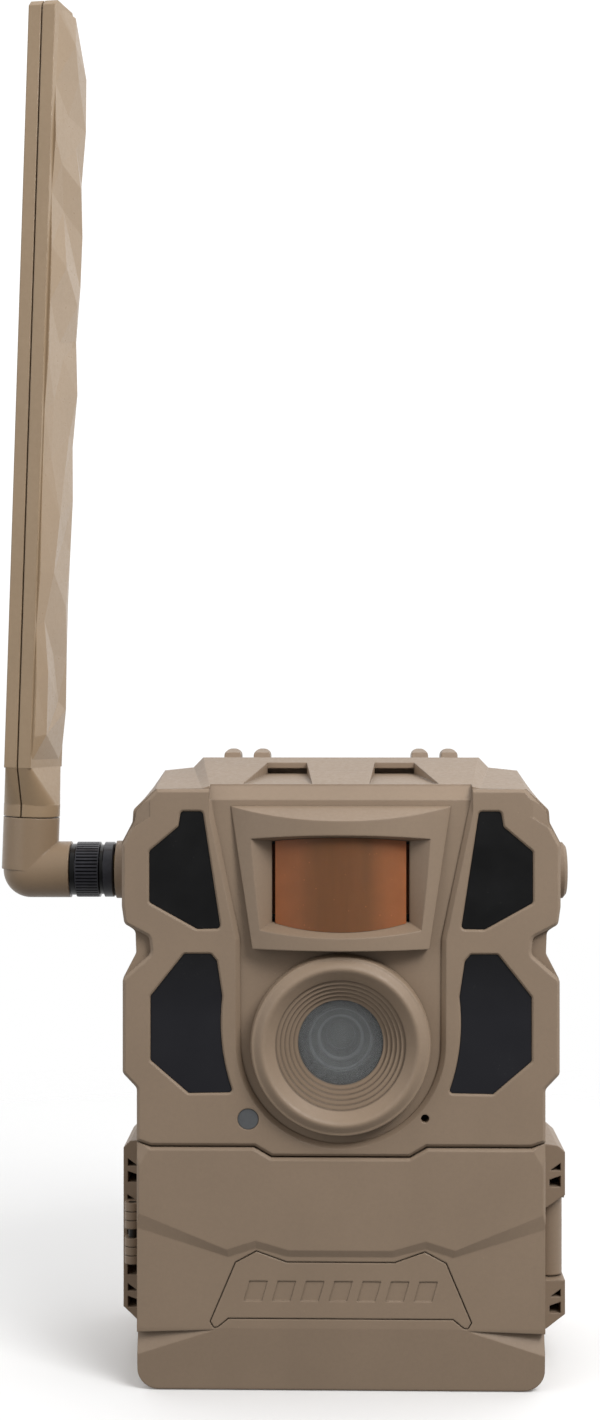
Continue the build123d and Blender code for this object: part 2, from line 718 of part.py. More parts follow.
BARREL_R = 3.2
with BuildPart() as latch_lever:
    with BuildSketch(Plane.XY.offset(MIDDLE_BOTTOM + GAP)):
        with Locations((LATCH_X, LATCH_Y)):
            Circle(BARREL_R)
        with Locations((LATCH_X + 1.9, LATCH_Y + 8.4)):
            Rectangle(2.2, 16.8)
        with Locations((LATCH_X, LATCH_Y)):
            Circle(LATCH_PIN_R + RUNNING, mode=Mode.SUBTRACT)
    extrude(amount=MIDDLE_TOP - MIDDLE_BOTTOM - 2 * GAP)
    fillet(latch_lever.edges().filter_by(Axis.Z).sort_by(Axis.Y)[-2:], 0.9)
    # Finger grooves at the free end of the thumb tab.
    for row in range(4):
        with Locations((LATCH_X + 3.2, LATCH_Y + 15.0 - 2.2 * row, 31.7)):
            Box(0.8, 1.0, 15.0, mode=Mode.SUBTRACT)
save(latch_lever, "latch_lever")

# ---- Lens group --------------------------------------------------------------------------------------

LENS_PLANE = Plane.XY.offset(LENS_Z)
LENS_AXIS = Axis((0, 0, LENS_Z), (0, 1, 0))
SEAT_Y = FRONT + PANEL_STEP
RIM_CREST = -41.2
STEP_COUNT = 5
STEP_R = 1.05
STEP_DEPTH = 0.9
FIRST_STEP_R = 15.5
FIRST_STEP_Y = -38.5
LIP_R = FIRST_STEP_R - STEP_COUNT * STEP_R
LIP_Y = FIRST_STEP_Y + STEP_COUNT * STEP_DEPTH
WINDOW_FRONT = LIP_Y + 0.6
WINDOW_R = 11.3
WINDOW_THICKNESS = 1.5
SEAL_BACK = WINDOW_FRONT + 2.2

with BuildPart() as lens_shroud:
    with BuildSketch(LENS_PLANE):
        with BuildLine():
            steps = [(LIP_R, WINDOW_FRONT), (LIP_R, LIP_Y)]
            for step in range(STEP_COUNT):
                radius = LIP_R + STEP_R * (step + 1)
                steps.append((radius, LIP_Y - STEP_DEPTH * step))
                steps.append((radius, LIP_Y - STEP_DEPTH * (step + 1)))
            Polyline(*steps, (17.7, RIM_CREST + 0.5))
            Spline(
                (17.7, RIM_CREST + 0.5),
                (18.6, RIM_CREST),
                (20.6, RIM_CREST + 1.3),
                (SHROUD_R, RIM_CREST + 3.8),
                tangents=((0.7, -0.7), (0.1, 1.0)),
            )
            Polyline(
                (SHROUD_R, RIM_CREST + 3.8),
                (SHROUD_R, SEAT_Y),
                (19.9, SEAT_Y),
                (19.9, -29.9),
                (WINDOW_R + 0.1, -29.9),
                (WINDOW_R + 0.1, WINDOW_FRONT),
                (LIP_R, WINDOW_FRONT),
            )
        make_face()
    revolve(axis=LENS_AXIS)
save(lens_shroud, "lens_shroud")


def lens_ring(outer, inner, back):
    """A ring about the lens axis, or a disc where the inner radius is 0, at the given depth."""
    with BuildSketch(at_depth(back)) as ring:
        with Locations((0, LENS_Z)):
            Circle(outer)
            if inner:
                Circle(inner, mode=Mode.SUBTRACT)
    return ring.sketch


with BuildPart() as lens_window:
    extrude(lens_ring(WINDOW_R, 0, WINDOW_FRONT + WINDOW_THICKNESS), amount=WINDOW_THICKNESS)
save(lens_window, "lens_window")

with BuildPart() as window_seal:
    extrude(lens_ring(WINDOW_R, 10.3, SEAL_BACK), amount=SEAL_BACK - WINDOW_FRONT - WINDOW_THICKNESS)
save(window_seal, "window_seal")

HOLDER_BACK = -13.4
with BuildPart() as lens_holder:
    extrude(lens_ring(WINDOW_R, 10.3, -29.0), amount=-29.0 - SEAL_BACK)
    extrude(lens_ring(WINDOW_R, 8.25, -28.0), amount=1.0)
    extrude(lens_ring(10.2, 8.25, -18.0), amount=10.0)
    with Locations((0, (HOLDER_BACK - 18.0) / 2, LENS_Z)):
        Box(34.0, HOLDER_BACK + 18.0, 20.0)
    # Slide channel of the infrared filter, and the light path through it.
    with Locations((0, -15.6, LENS_Z)):
        Box(28.0, 1.4, 12.4, mode=Mode.SUBTRACT)
    ring_path = Cylinder(5.0, 8.0, rotation=(90, 0, 0), mode=Mode.PRIVATE)
    add(ring_path.moved(Location((0, -15.6, LENS_Z))), mode=Mode.SUBTRACT)
save(lens_holder, "lens_holder")

with BuildPart() as lens_barrel:
    with BuildSketch(LENS_PLANE):
        Polygon(
            (8.2, -29.6),
            (8.2, -18.1),
            (3.0, -18.1),
            (3.0, -20.4),
            (4.0, -20.4),
            (4.0, -23.0),
            (4.6, -23.4),
            (4.6, -24.4),
            (5.7, -25.0),
            (5.7, -26.2),
            (7.6, -27.2),
            (7.6, -29.6),
            align=None,
        )
    revolve(axis=LENS_AXIS)
save(lens_barrel, "lens_barrel")

with BuildPart() as lens_front_element:
    with BuildSketch(LENS_PLANE):
        with BuildLine():
            ThreePointArc((0, -22.9), (2.1, -22.5), (3.9, -21.4))
            Polyline((3.9, -21.4), (3.9, -20.5), (0, -20.5), (0, -22.9))
        make_face()
    revolve(axis=LENS_AXIS)
save(lens_front_element, "lens_front_element")

FILTER_TRAVEL = 7.0
with BuildPart() as ir_cut_filter:
    with Locations((-FILTER_TRAVEL / 2, -15.6, LENS_Z)):
        Box(18.0, 0.8, 11.6)
save(ir_cut_filter, "ir_cut_filter")

with BuildPart() as image_sensor:
    with Locations((0, HOLDER_BACK + 0.6, LENS_Z)):
        Box(30.0, 1.2, 18.0)
    with Locations((0, HOLDER_BACK - 0.5, LENS_Z)):
        Box(6.4, 1.0, 5.0)
save(image_sensor, "image_sensor")

# ---- Motion sensor -----------------------------------------------------------------------------------

FRAME_TOP, FRAME_BOTTOM = 141.0, 106.9
FRAME_TOP_HALF, FRAME_BOTTOM_HALF = 26.4, 21.1
BULGE_R = 50.0
BULGE_FRONT = -42.2
FLARE_FRONT = -43.0
OPENING_HALF = 16.5
SILL_BACK, SILL_FRONT = 113.0, 109.6
SOFFIT_BACK, SOFFIT_FRONT = 132.5, 134.5

with BuildPart() as pir_frame:
    with BuildSketch(at_depth(SEAT_Y)):
        Polygon(*both_sides([(FRAME_BOTTOM_HALF, FRAME_BOTTOM), (FRAME_TOP_HALF, FRAME_TOP)]), align=None)
    extrude(amount=10.0)
    with BuildSketch(Plane.XY.offset(100.0)):
        with Locations((0, BULGE_FRONT + BULGE_R)):
            Circle(BULGE_R)
    extrude(amount=50.0, mode=Mode.INTERSECT)
    # The brow slopes down to the front.
    split(bisect_by=Plane(origin=(0, SEAT_Y, FRAME_TOP), z_dir=(0, -0.42, 1)), keep=Keep.BOTTOM)
    with BuildSketch(at_depth(-30.8)):
        with Locations((0, PIR_Z)):
            Rectangle(38.6, 27.6)
    extrude(amount=-30.8 - SEAT_Y)
    # Flared opening in front of the lens.
    back_opening = both_sides([(OPENING_HALF, SILL_BACK), (OPENING_HALF, SOFFIT_BACK)])
    with BuildSketch(at_depth(SEAT_Y)):
        Polygon(*back_opening, align=None)
    with BuildSketch(at_depth(FLARE_FRONT)):
        Polygon(*both_sides([(22.6, SILL_FRONT), (31.0, SOFFIT_FRONT)]), align=None)
    loft(ruled=True, mode=Mode.SUBTRACT)
    with BuildSketch(at_depth(-30.0)):
        Polygon(*back_opening, align=None)
    extrude(amount=5.0, mode=Mode.SUBTRACT)
save(pir_frame, "pir_frame")

PIR_R = 30.0
PIR_HALF = 15.7
PIR_FRONT = -39.5
with BuildPart() as pir_lens:
    with BuildSketch(Plane.XY.offset(106.0)):
        with Locations((0, PIR_FRONT + PIR_R)):
            Circle(PIR_R)
            Circle(PIR_R - 1.0, mode=Mode.SUBTRACT)
        with Locations((0, PIR_FRONT + 1.0)):
            Rectangle(2 * PIR_HALF, 14.0, mode=Mode.INTERSECT)
        for side in (1, -1):
            with Locations((side * (PIR_HALF - 0.5), -32.35)):
                Rectangle(1.0, 4.5)
            with Locations((side * 17.4, -30.1)):
                Rectangle(5.4, 0.9)
    extrude(amount=32.0)
    # Trimmed to the slopes of the sill and of the soffit.
    depth = SEAT_Y - FLARE_FRONT
    sill = Plane(origin=(0, SEAT_Y, SILL_BACK + 0.1), z_dir=(0, SILL_FRONT - SILL_BACK, depth))
    soffit = Plane(origin=(0, SEAT_Y, SOFFIT_BACK - 0.1), z_dir=(0, SOFFIT_FRONT - SOFFIT_BACK, depth))
    split(bisect_by=sill, keep=Keep.TOP)
    split(bisect_by=soffit, keep=Keep.BOTTOM)
save(pir_lens, "pir_lens")

with BuildPart() as pir_lens_retainer:
    with BuildSketch(at_depth(-28.0)):
        with Locations((0, PIR_Z)):
            Rectangle(41.0, 30.0)
            Rectangle(29.0, 21.0, mode=Mode.SUBTRACT)
    extrude(amount=1.6)
save(pir_lens_retainer, "pir_lens_retainer")

with BuildPart() as pir_sensor:
    with BuildSketch(at_depth(BOARD_FRONT)):
        with Locations((0, PIR_Z)):
            Circle(4.6)
    extrude(amount=4.4)
    with BuildSketch(at_depth(BOARD_FRONT - 4.4)):
        with Locations((0, PIR_Z)):
            Rectangle(4.0, 3.0)
    extrude(amount=0.3)
save(pir_sensor, "pir_sensor")

# ---- Infrared windows and light boards ---------------------------------------------------------------

for node, outline in WINDOWS.items():
    with BuildPart() as led_window:
        for side in SIDES:
            with BuildSketch(at_depth(FACE_BACK - 0.1)):
                add(outline(side, grow=0.4))
            extrude(amount=1.4)
            with BuildSketch(at_depth(FACE_BACK - 1.5)):
                add(outline(side, grow=-0.1))
            extrude(amount=1.9)
    save(led_window, node)

LED_BOARD_BACK = LED_BOARD_FRONT + 1.4
LED_COLUMNS = (33.0, 37.5, 42.0)
LED_ROWS = [76.0 + 4.6 * row for row in range(6)] + [116.6 + 4.6 * row for row in range(4)]

LED_CENTRES = [(side * x, z) for side in SIDES for x in LED_COLUMNS for z in LED_ROWS]

with BuildPart() as led_boards:
    with BuildSketch(at_depth(LED_BOARD_BACK)):
        with Locations((37.2, 101.8), (-37.2, 101.8)):
            Rectangle(16.0, 69.0)
        with Locations((45.2, 107.8), (-45.2, 107.8)):
            Rectangle(4.0, 11.0, mode=Mode.SUBTRACT)
    extrude(amount=LED_BOARD_BACK - LED_BOARD_FRONT)
save(led_boards, "led_boards")

with BuildPart() as ir_leds:
    with BuildSketch(at_depth(LED_BOARD_FRONT)):
        with Locations(*LED_CENTRES):
            Rectangle(2.8, 2.8)
    extrude(amount=0.8)
    with BuildSketch(at_depth(LED_BOARD_FRONT - 0.8)):
        with Locations(*LED_CENTRES):
            Circle(1.1)
    extrude(amount=0.7)
save(ir_leds, "ir_leds")

with BuildPart() as light_sensor_window:
    with BuildSketch(at_depth(FACE_BACK)):
        with Locations(SENSOR_XZ):
            Circle(2.5)
    extrude(amount=FACE_BACK - FRONT - 0.3)
save(light_sensor_window, "light_sensor_window")

with BuildPart() as mic_mesh:
    with BuildSketch(at_depth(FACE_BACK + 0.3)):
        with Locations(MIC_XZ):
            Circle(2.6)
    extrude(amount=0.3)
save(mic_mesh, "mic_mesh")

with BuildPart() as microphone:
    with BuildSketch(at_depth(FACE_BACK + 2.5)):
        with Locations(MIC_XZ):
            Circle(3.0)
    extrude(amount=2.2)
save(microphone, "microphone")

# ---- Main board --------------------------------------------------------------------------------------

with BuildPart() as main_board:
    with BuildSketch(at_depth(BOARD_BACK)):
        with Locations((0, 102.8)):
            Rectangle(78.0, 76.0)
        with Locations(*BOARD_POSTS):
            Circle(1.3, mode=Mode.SUBTRACT)
    extrude(amount=BOARD_BACK - BOARD_FRONT)
    chips = ((-20.0, 118.0, 12.0, 12.0), (22.0, 118.0, 10.0, 14.0), (-20.0, 104.0, 8.0, 6.0))
    for x, z, width, height in chips:
        with Locations((x, BOARD_FRONT - 0.6, z)):
            Box(width, 1.2, height)
save(main_board, "main_board")

with BuildPart() as modem_module:
    with Locations((-18.0, BOARD_BACK + 1.3, 116.0)):
        Box(30.0, 2.6, 26.0)
save(modem_module, "modem_module")

with BuildPart() as board_screws:
    with BuildSketch(at_depth(BOARD_BACK + 1.5)):
        with Locations(*BOARD_POSTS):
            Circle(2.2)
    extrude(amount=1.5)
    with BuildSketch(at_depth(BOARD_BACK)):
        with Locations(*BOARD_POSTS):
            Circle(1.1)
    extrude(amount=8.0)
save(board_screws, "board_screws")

# ---- Battery tray ------------------------------------------------------------------------------------

TRAY_WIDTH = TRAY_RIGHT - TRAY_LEFT
TRAY_DEPTH = TRAY_BACK - TRAY_FRONT
TRAY_HEIGHT = TRAY_TOP - TRAY_BOTTOM
TRAY_CENTRE = ((TRAY_LEFT + TRAY_RIGHT) / 2, (TRAY_FRONT + TRAY_BACK) / 2, (TRAY_BOTTOM + TRAY_TOP) / 2)
CELL_LEFT = TRAY_LEFT + TRAY_WALL + 3.7
CELL_ROWS = [TRAY_FRONT + TRAY_WALL + CELL_PITCH * (row + 0.5) for row in range(4)]
CELL_LEVELS = [TRAY_BOTTOM + 1.1 + CELL_PITCH * (level + 0.5) for level in range(3)]
CELL_CENTRES = [(y, z) for y in CELL_ROWS for z in CELL_LEVELS]

with BuildPart() as battery_tray:
    with Locations(TRAY_CENTRE):
        Box(TRAY_WIDTH, TRAY_DEPTH, TRAY_HEIGHT)
        Box(TRAY_WIDTH - 2 * TRAY_WALL, TRAY_DEPTH - 2 * TRAY_WALL, TRAY_HEIGHT - 2.0, mode=Mode.SUBTRACT)
    # Open front, with a low lip that keeps the cells in.
    with Locations((TRAY_CENTRE[0], TRAY_FRONT, TRAY_CENTRE[2])):
        Box(TRAY_WIDTH - 8.0, 6.0, TRAY_HEIGHT - 7.0, mode=Mode.SUBTRACT)
save(battery_tray, "battery_tray")

with BuildPart() as battery_cells:
    with BuildSketch(Plane.YZ.offset(CELL_LEFT)):
        with Locations(*CELL_CENTRES):
            Circle(CELL_R)
    extrude(amount=CELL_LENGTH)
    with BuildSketch(Plane.YZ.offset(CELL_LEFT + CELL_LENGTH)):
        with Locations(*CELL_CENTRES):
            Circle(2.7)
    extrude(amount=1.2)
save(battery_cells, "battery_cells")

CONTACT_THICKNESS = 0.4
SPRING_BASE = TRAY_LEFT + TRAY_WALL + CONTACT_THICKNESS
SPRING_LENGTH = CELL_LEFT - SPRING_BASE
COILS = 5
COIL_PITCH = SPRING_LENGTH / COILS

with BuildPart() as battery_contacts:
    # A plate with a coned spring at one end of each cell, and a plain plate at the other.
    for x in (TRAY_LEFT + TRAY_WALL, CELL_LEFT + CELL_LENGTH + 1.2):
        with BuildSketch(Plane.YZ.offset(x)):
            with Locations(*CELL_CENTRES):
                Rectangle(10.0, 10.0)
        extrude(amount=CONTACT_THICKNESS)
    for coil in range(COILS):
        with BuildSketch(Plane.YZ.offset(SPRING_BASE + COIL_PITCH * coil)):
            with Locations(*CELL_CENTRES):
                Circle(4.2 - 0.4 * coil)
                Circle(3.4 - 0.4 * coil, mode=Mode.SUBTRACT)
        extrude(amount=COIL_PITCH)
save(battery_contacts, "battery_contacts")

with BuildPart() as tray_pull_tab:
    with Locations((-20.0, TRAY_FRONT - 0.3, 31.1)):
        Box(14.0, 0.6, 40.0)
save(tray_pull_tab, "tray_pull_tab")

# ---- Control panel -----------------------------------------------------------------------------------

PANEL_LEFT, PANEL_RIGHT = 12.4, 45.4
PANEL_LOW, PANEL_HIGH = 4.0, 54.0
PANEL_THICKNESS = 2.0
CONTROL_BACK = CONTROL_FRONT + PANEL_THICKNESS
CONTROL_BOARD_FRONT = -9.6
LCD_CENTRE = (25.5, 44.6)
LCD_SIZE = (22.0, 15.0)
CARD_WIDTH, CARD_THICKNESS, CARD_LENGTH = 24.0, 2.1, 32.0
SIM_WIDTH, SIM_THICKNESS, SIM_LENGTH = 12.0, 0.8, 15.0
SLIDE_CLEARANCE = 0.1

with BuildPart() as control_panel:
    with BuildSketch(at_depth(CONTROL_BACK)):
        Polygon((PANEL_LEFT, PANEL_LOW), (PANEL_RIGHT - 2.0, PANEL_LOW), (PANEL_RIGHT, PANEL_LOW + 2.6),
                (PANEL_RIGHT, PANEL_HIGH), (PANEL_LEFT, PANEL_HIGH), align=None)
    extrude(amount=PANEL_THICKNESS)
    # Side walls that carry the panel on the back of the housing.
    with BuildSketch(at_depth(BACK - WALL)):
        with Locations((PANEL_LEFT + 0.6, (PANEL_LOW + PANEL_HIGH) / 2)):
            Rectangle(1.2, PANEL_HIGH - PANEL_LOW)
    extrude(amount=BACK - WALL - CONTROL_BACK)
    with BuildSketch(at_depth(CONTROL_BACK)):
        with Locations(*BUTTON_CENTRES.values()):
            Circle(BUTTON_R + SLIDE_CLEARANCE)
        with Locations(LCD_CENTRE):
            Rectangle(*LCD_SIZE)
        with Locations((CARD_X, CARD_Z)):
            Rectangle(CARD_THICKNESS + 0.3, CARD_WIDTH + 0.3)
        with Locations((SIM_X, SIM_Z)):
            Rectangle(SIM_THICKNESS + 0.3, SIM_WIDTH + 0.3)
        with Locations((SWITCH_X, SWITCH_Z)):
            Rectangle(8.0, 2.6)
    extrude(amount=PANEL_THICKNESS, mode=Mode.SUBTRACT)
save(control_panel, "control_panel")

with BuildPart() as control_board:
    with BuildSketch(at_depth(CONTROL_BOARD_FRONT + 1.4)):
        with Locations(((13.8 + 40.0) / 2, 29.0)):
            Rectangle(26.0, 49.0)
    extrude(amount=1.4)
save(control_board, "control_board")

with BuildPart() as lcd_screen:
    with BuildSketch(at_depth(CONTROL_BACK)):
        with Locations(LCD_CENTRE):
            Rectangle(LCD_SIZE[0] - 0.1, LCD_SIZE[1] - 0.1)
    extrude(amount=PANEL_THICKNESS - 0.4)
    with BuildSketch(at_depth(CONTROL_BOARD_FRONT)):
        with Locations(LCD_CENTRE):
            Rectangle(LCD_SIZE[0] + 1.0, LCD_SIZE[1] + 2.0)
    extrude(amount=CONTROL_BOARD_FRONT - CONTROL_BACK)
save(lcd_screen, "lcd_screen")

BUTTON_TRAVEL = 0.6
BUTTON_PROUD = 1.0
FLANGE = 0.8
for node, (x, z) in BUTTON_CENTRES.items():
    with BuildPart() as button:
        with BuildSketch(at_depth(CONTROL_BACK + FLANGE)):
            with Locations((x, z)):
                Circle(BUTTON_R + 0.5)
        extrude(amount=FLANGE)
        with BuildSketch(at_depth(CONTROL_BACK)):
            with Locations((x, z)):
                Circle(BUTTON_R)
        extrude(amount=PANEL_THICKNESS + BUTTON_PROUD)
        fillet(button.faces().sort_by(Axis.Y)[0].edges(), 0.5)
    save(button, node)

with BuildPart() as tact_switches:
    for x, z in BUTTON_CENTRES.values():
        with Locations((x, CONTROL_BOARD_FRONT - 1.1, z)):
            Box(4.5, 2.2, 4.5)
        stem = CONTROL_BOARD_FRONT - 2.2 - (CONTROL_BACK + FLANGE + BUTTON_TRAVEL + 0.1)
        with BuildSketch(at_depth(CONTROL_BOARD_FRONT - 2.2)):
            with Locations((x, z)):
                Circle(1.4)
        extrude(amount=stem)
save(tact_switches, "tact_switches")

SWITCH_TRAVEL = 3.0
with BuildPart() as power_switch:
    with Locations((SWITCH_X - SWITCH_TRAVEL / 2, CONTROL_FRONT + 0.6, SWITCH_Z)):
        Box(3.6, 4.0, 2.4)
    with Locations((SWITCH_X - SWITCH_TRAVEL / 2, CONTROL_BACK + 1.1, SWITCH_Z)):
        Box(8.0, 1.8, 4.4)
save(power_switch, "power_switch")

CARD_PROUD = 1.5
with BuildPart() as sd_card:
    with BuildSketch(Plane.YZ.offset(CARD_X - CARD_THICKNESS / 2)):
        Polygon(
            (CONTROL_FRONT - CARD_PROUD, CARD_Z - CARD_WIDTH / 2),
            (CONTROL_FRONT - CARD_PROUD + CARD_LENGTH, CARD_Z - CARD_WIDTH / 2),
            (CONTROL_FRONT - CARD_PROUD + CARD_LENGTH, CARD_Z + CARD_WIDTH / 2 - 4.0),
            (CONTROL_FRONT - CARD_PROUD + CARD_LENGTH - 4.0, CARD_Z + CARD_WIDTH / 2),
            (CONTROL_FRONT - CARD_PROUD, CARD_Z + CARD_WIDTH / 2),
            align=None,
        )
    extrude(amount=CARD_THICKNESS)
save(sd_card, "sd_card")

with BuildPart() as sim_card:
    with Locations((SIM_X, CONTROL_FRONT - 1.0 + SIM_LENGTH / 2, SIM_Z)):
        Box(SIM_THICKNESS, SIM_LENGTH, SIM_WIDTH)
save(sim_card, "sim_card")


CARD_SOCKETS = (
    (CARD_X, CARD_Z, CARD_THICKNESS, CARD_WIDTH, CARD_LENGTH - 1.0),
    (SIM_X, SIM_Z, SIM_THICKNESS, SIM_WIDTH, SIM_LENGTH - 1.0),
)
with BuildPart() as card_sockets:
    for x, z, thickness, width, depth in CARD_SOCKETS:
        with Locations((x, CONTROL_BACK + depth / 2, z)):
            Box(thickness + 1.6, depth, width + 1.6)
            Box(thickness + 2 * SLIDE_CLEARANCE, depth, width + 2 * SLIDE_CLEARANCE, mode=Mode.SUBTRACT)
save(card_sockets, "card_sockets")

# ---- Power port --------------------------------------------------------------------------------------

PORT_AXIS = Axis((0, 0, PORT_Z), (1, 0, 0))


def port_profile(*points):
    """A turned profile on the port axis, from its (x, radius) points."""
    with BuildSketch(Plane.XZ) as profile:
        Polygon(*[(x, PORT_Z + radius) for x, radius in points], align=None)
    return profile.sketch


with BuildPart() as dc_jack:
    jack = port_profile((42.0, 0), (42.0, 4.55), (54.0, 4.55), (54.0, 3.2), (44.0, 3.2), (44.0, 0))
    revolve(jack, axis=PORT_AXIS)
save(dc_jack, "dc_jack")

with BuildPart() as dc_port_cover:
    plug = [(46.0, 0), (46.0, 3.1), (54.5, 3.1), (54.5, 7.2), (56.8, 7.2), (57.6, 6.2), (57.6, 0)]
    revolve(port_profile(*plug), axis=PORT_AXIS)
save(dc_port_cover, "dc_port_cover")

# ---- Antenna -----------------------------------------------------------------------------------------

NUT_R = 7.1
THREAD_R = 3.9
COLLAR_R = 5.2
KNURLS = 48

with BuildPart() as antenna_connector:
    thread = THREAD_R - 0.02
    socket = [(-44.0, 0), (-44.0, thread), (-64.4, thread), (-64.4, 2.6), (-58.0, 2.6), (-58.0, 0)]
    revolve(port_profile(*socket), axis=PORT_AXIS)
save(antenna_connector, "antenna_connector")

with BuildPart() as connector_nut:
    with BuildSketch(Plane.YZ.offset(-46.4)):
        with Locations((0, PORT_Z)):
            RegularPolygon(6.0, 6)
            Circle(THREAD_R, mode=Mode.SUBTRACT)
    extrude(amount=2.2)
save(connector_nut, "connector_nut")

with BuildPart() as antenna_nut:
    revolve(port_profile(
        (NUT_RIGHT, THREAD_R + RUNNING),
        (NUT_RIGHT, NUT_R - 0.4),
        (-58.4, NUT_R),
        (-60.6, NUT_R),
        (-60.9, NUT_R - 0.7),
        (-61.6, NUT_R - 0.7),
        (-61.9, NUT_R),
        (-67.8, NUT_R),
        (-68.1, NUT_R - 0.5),
        (NUT_LEFT, NUT_R - 0.5),
        (NUT_LEFT, 3.6),
        (-68.0, 3.6),
        (-68.0, COLLAR_R + 0.3),
        (-64.8, COLLAR_R + 0.3),
        (-64.8, THREAD_R + RUNNING),
    ), axis=PORT_AXIS)
    with BuildSketch(Plane.YZ.offset(-62.1)):
        with Locations((0, PORT_Z)):
            with PolarLocations(NUT_R, KNURLS):
                Polygon((-0.42, 0.0), (0.2, 0.3), (0.2, -0.3), align=None)
    extrude(amount=-5.5, mode=Mode.SUBTRACT)
save(antenna_nut, "antenna_nut")

lean = math.radians(BLADE_LEAN)
BLADE_DIRECTION = (math.sin(lean), 0, math.cos(lean))
NECK_ORIGIN = (NECK_X, 0, BLADE_SEAM_Z)
NECK_PLANE = Plane(origin=NECK_ORIGIN, x_dir=(math.cos(lean), 0, -math.sin(lean)), z_dir=BLADE_DIRECTION)
BLADE_PLANE = NECK_PLANE.rotated((0, 0, BLADE_TURN))
SPIGOT_R = 4.0

with BuildPart() as antenna_elbow:
    arm = [
        (NECK_X, 0),
        (NECK_X, NECK_R),
        (-69.5, NECK_R),
        (-69.5, 3.5),
        (-67.8, 3.5),
        (-67.8, COLLAR_R),
        (-66.0, COLLAR_R),
        (-66.0, 1.6),
        (-64.9, 1.6),
        (-64.9, 0),
    ]
    revolve(port_profile(*arm), axis=PORT_AXIS)
    with Locations((NECK_X, 0, PORT_Z)):
        Sphere(NECK_R)
    with BuildSketch(NECK_PLANE):
        Circle(NECK_R)
    extrude(amount=-13.4)
    with BuildSketch(NECK_PLANE):
        Circle(SPIGOT_R)
    extrude(amount=5.0)
save(antenna_elbow, "antenna_elbow")

SEAM = 0.3  # gap between the elbow and the blade
GROOVE_WIDTH = 0.44
GROOVE_DEPTH = 0.8
with BuildPart() as blade_body:
    with BuildSketch(BLADE_PLANE.offset(SEAM)):
        Circle(NECK_R)
    extrude(amount=3.2)
    with BuildSketch(BLADE_PLANE.offset(3.4)):
        RectangleRounded(14.0, 14.2, 6.6)
    with BuildSketch(BLADE_PLANE.offset(13.0)):
        RectangleRounded(BLADE_THICKNESS, BLADE_WIDTH, 1.0)
    loft()
    blade_side = Plane(origin=BLADE_PLANE.origin, x_dir=BLADE_PLANE.y_dir, z_dir=BLADE_PLANE.x_dir)
    half = BLADE_WIDTH / 2
    with BuildSketch(blade_side.offset(-BLADE_THICKNESS / 2)):
        Polygon(
            (-half, 12.9),
            (half, 12.9),
            (half, BLADE_LENGTH - 13.0),
            (half - 9.5, BLADE_LENGTH),
            (1.5 - half, BLADE_LENGTH),
            (-half, BLADE_LENGTH - 1.5),
            align=None,
        )
    extrude(amount=BLADE_THICKNESS)
    # Groove along the seam between the two shells.
    inner = half - GROOVE_DEPTH
    with BuildSketch(blade_side.offset(-GROOVE_WIDTH / 2)):
        with Locations((0, BLADE_LENGTH / 2)):
            Rectangle(30.0, BLADE_LENGTH + 20.0)
        Polygon(
            (-6.4, 0.0),
            (6.4, 0.0),
            (6.4, 3.6),
            (inner, 13.4),
            (inner, BLADE_LENGTH - 13.4),
            (half - 9.9, BLADE_LENGTH - GROOVE_DEPTH),
            (1.8 - half, BLADE_LENGTH - GROOVE_DEPTH),
            (-inner, BLADE_LENGTH - 1.8),
            (-inner, 13.4),
            (-6.4, 3.6),
            align=None,
            mode=Mode.SUBTRACT,
        )
    extrude(amount=GROOVE_WIDTH, mode=Mode.SUBTRACT)
    # Room for the radiating strip, and the bore that turns on the elbow's spigot.
    with BuildSketch(blade_side.offset(-1.2)):
        Polygon((-7.6, 16.0), (7.6, 16.0), (7.6, 194.0), (-7.6, 194.0), align=None)
    extrude(amount=2.4, mode=Mode.SUBTRACT)
    with BuildSketch(BLADE_PLANE):
        Circle(SPIGOT_R + RUNNING)
    extrude(amount=5.4, mode=Mode.SUBTRACT)

HALF_SEAM = 0.05
with BuildPart() as antenna_inner_shell:
    add(blade_body.part)
    split(bisect_by=blade_side.offset(HALF_SEAM), keep=Keep.TOP)
save(antenna_inner_shell, "antenna_inner_shell")

with BuildPart() as antenna_outer_shell:
    add(blade_body.part)
    split(bisect_by=blade_side.offset(-HALF_SEAM), keep=Keep.BOTTOM)
save(antenna_outer_shell, "antenna_outer_shell")

with BuildPart() as antenna_element:
    with BuildSketch(blade_side.offset(-0.4)):
        with Locations((0, 105.0)):
            Rectangle(14.0, 176.0)
    extrude(amount=0.8)
save(antenna_element, "antenna_element")

# Coaxial jumper from the connector to the modem, clipped inside the rear housing.
COAX_R = 0.9
with BuildPart() as coax_jumper:
    with BuildLine() as route:
        FilletPolyline((-44.0, 0, PORT_Z), (-34.0, 0, PORT_Z), (-34.0, -6.7, PORT_Z), radius=2.9)
    with BuildSketch(Plane(origin=(-44.0, 0, PORT_Z), z_dir=(1, 0, 0))):
        Circle(COAX_R)
    sweep()
save(coax_jumper, "coax_jumper")
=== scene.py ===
"""Looks for the trail camera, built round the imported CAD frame. Lengths are metres."""

import json
import math
import random

import bpy
from mathutils import Matrix, Vector
from mathutils.geometry import delaunay_2d_cdt


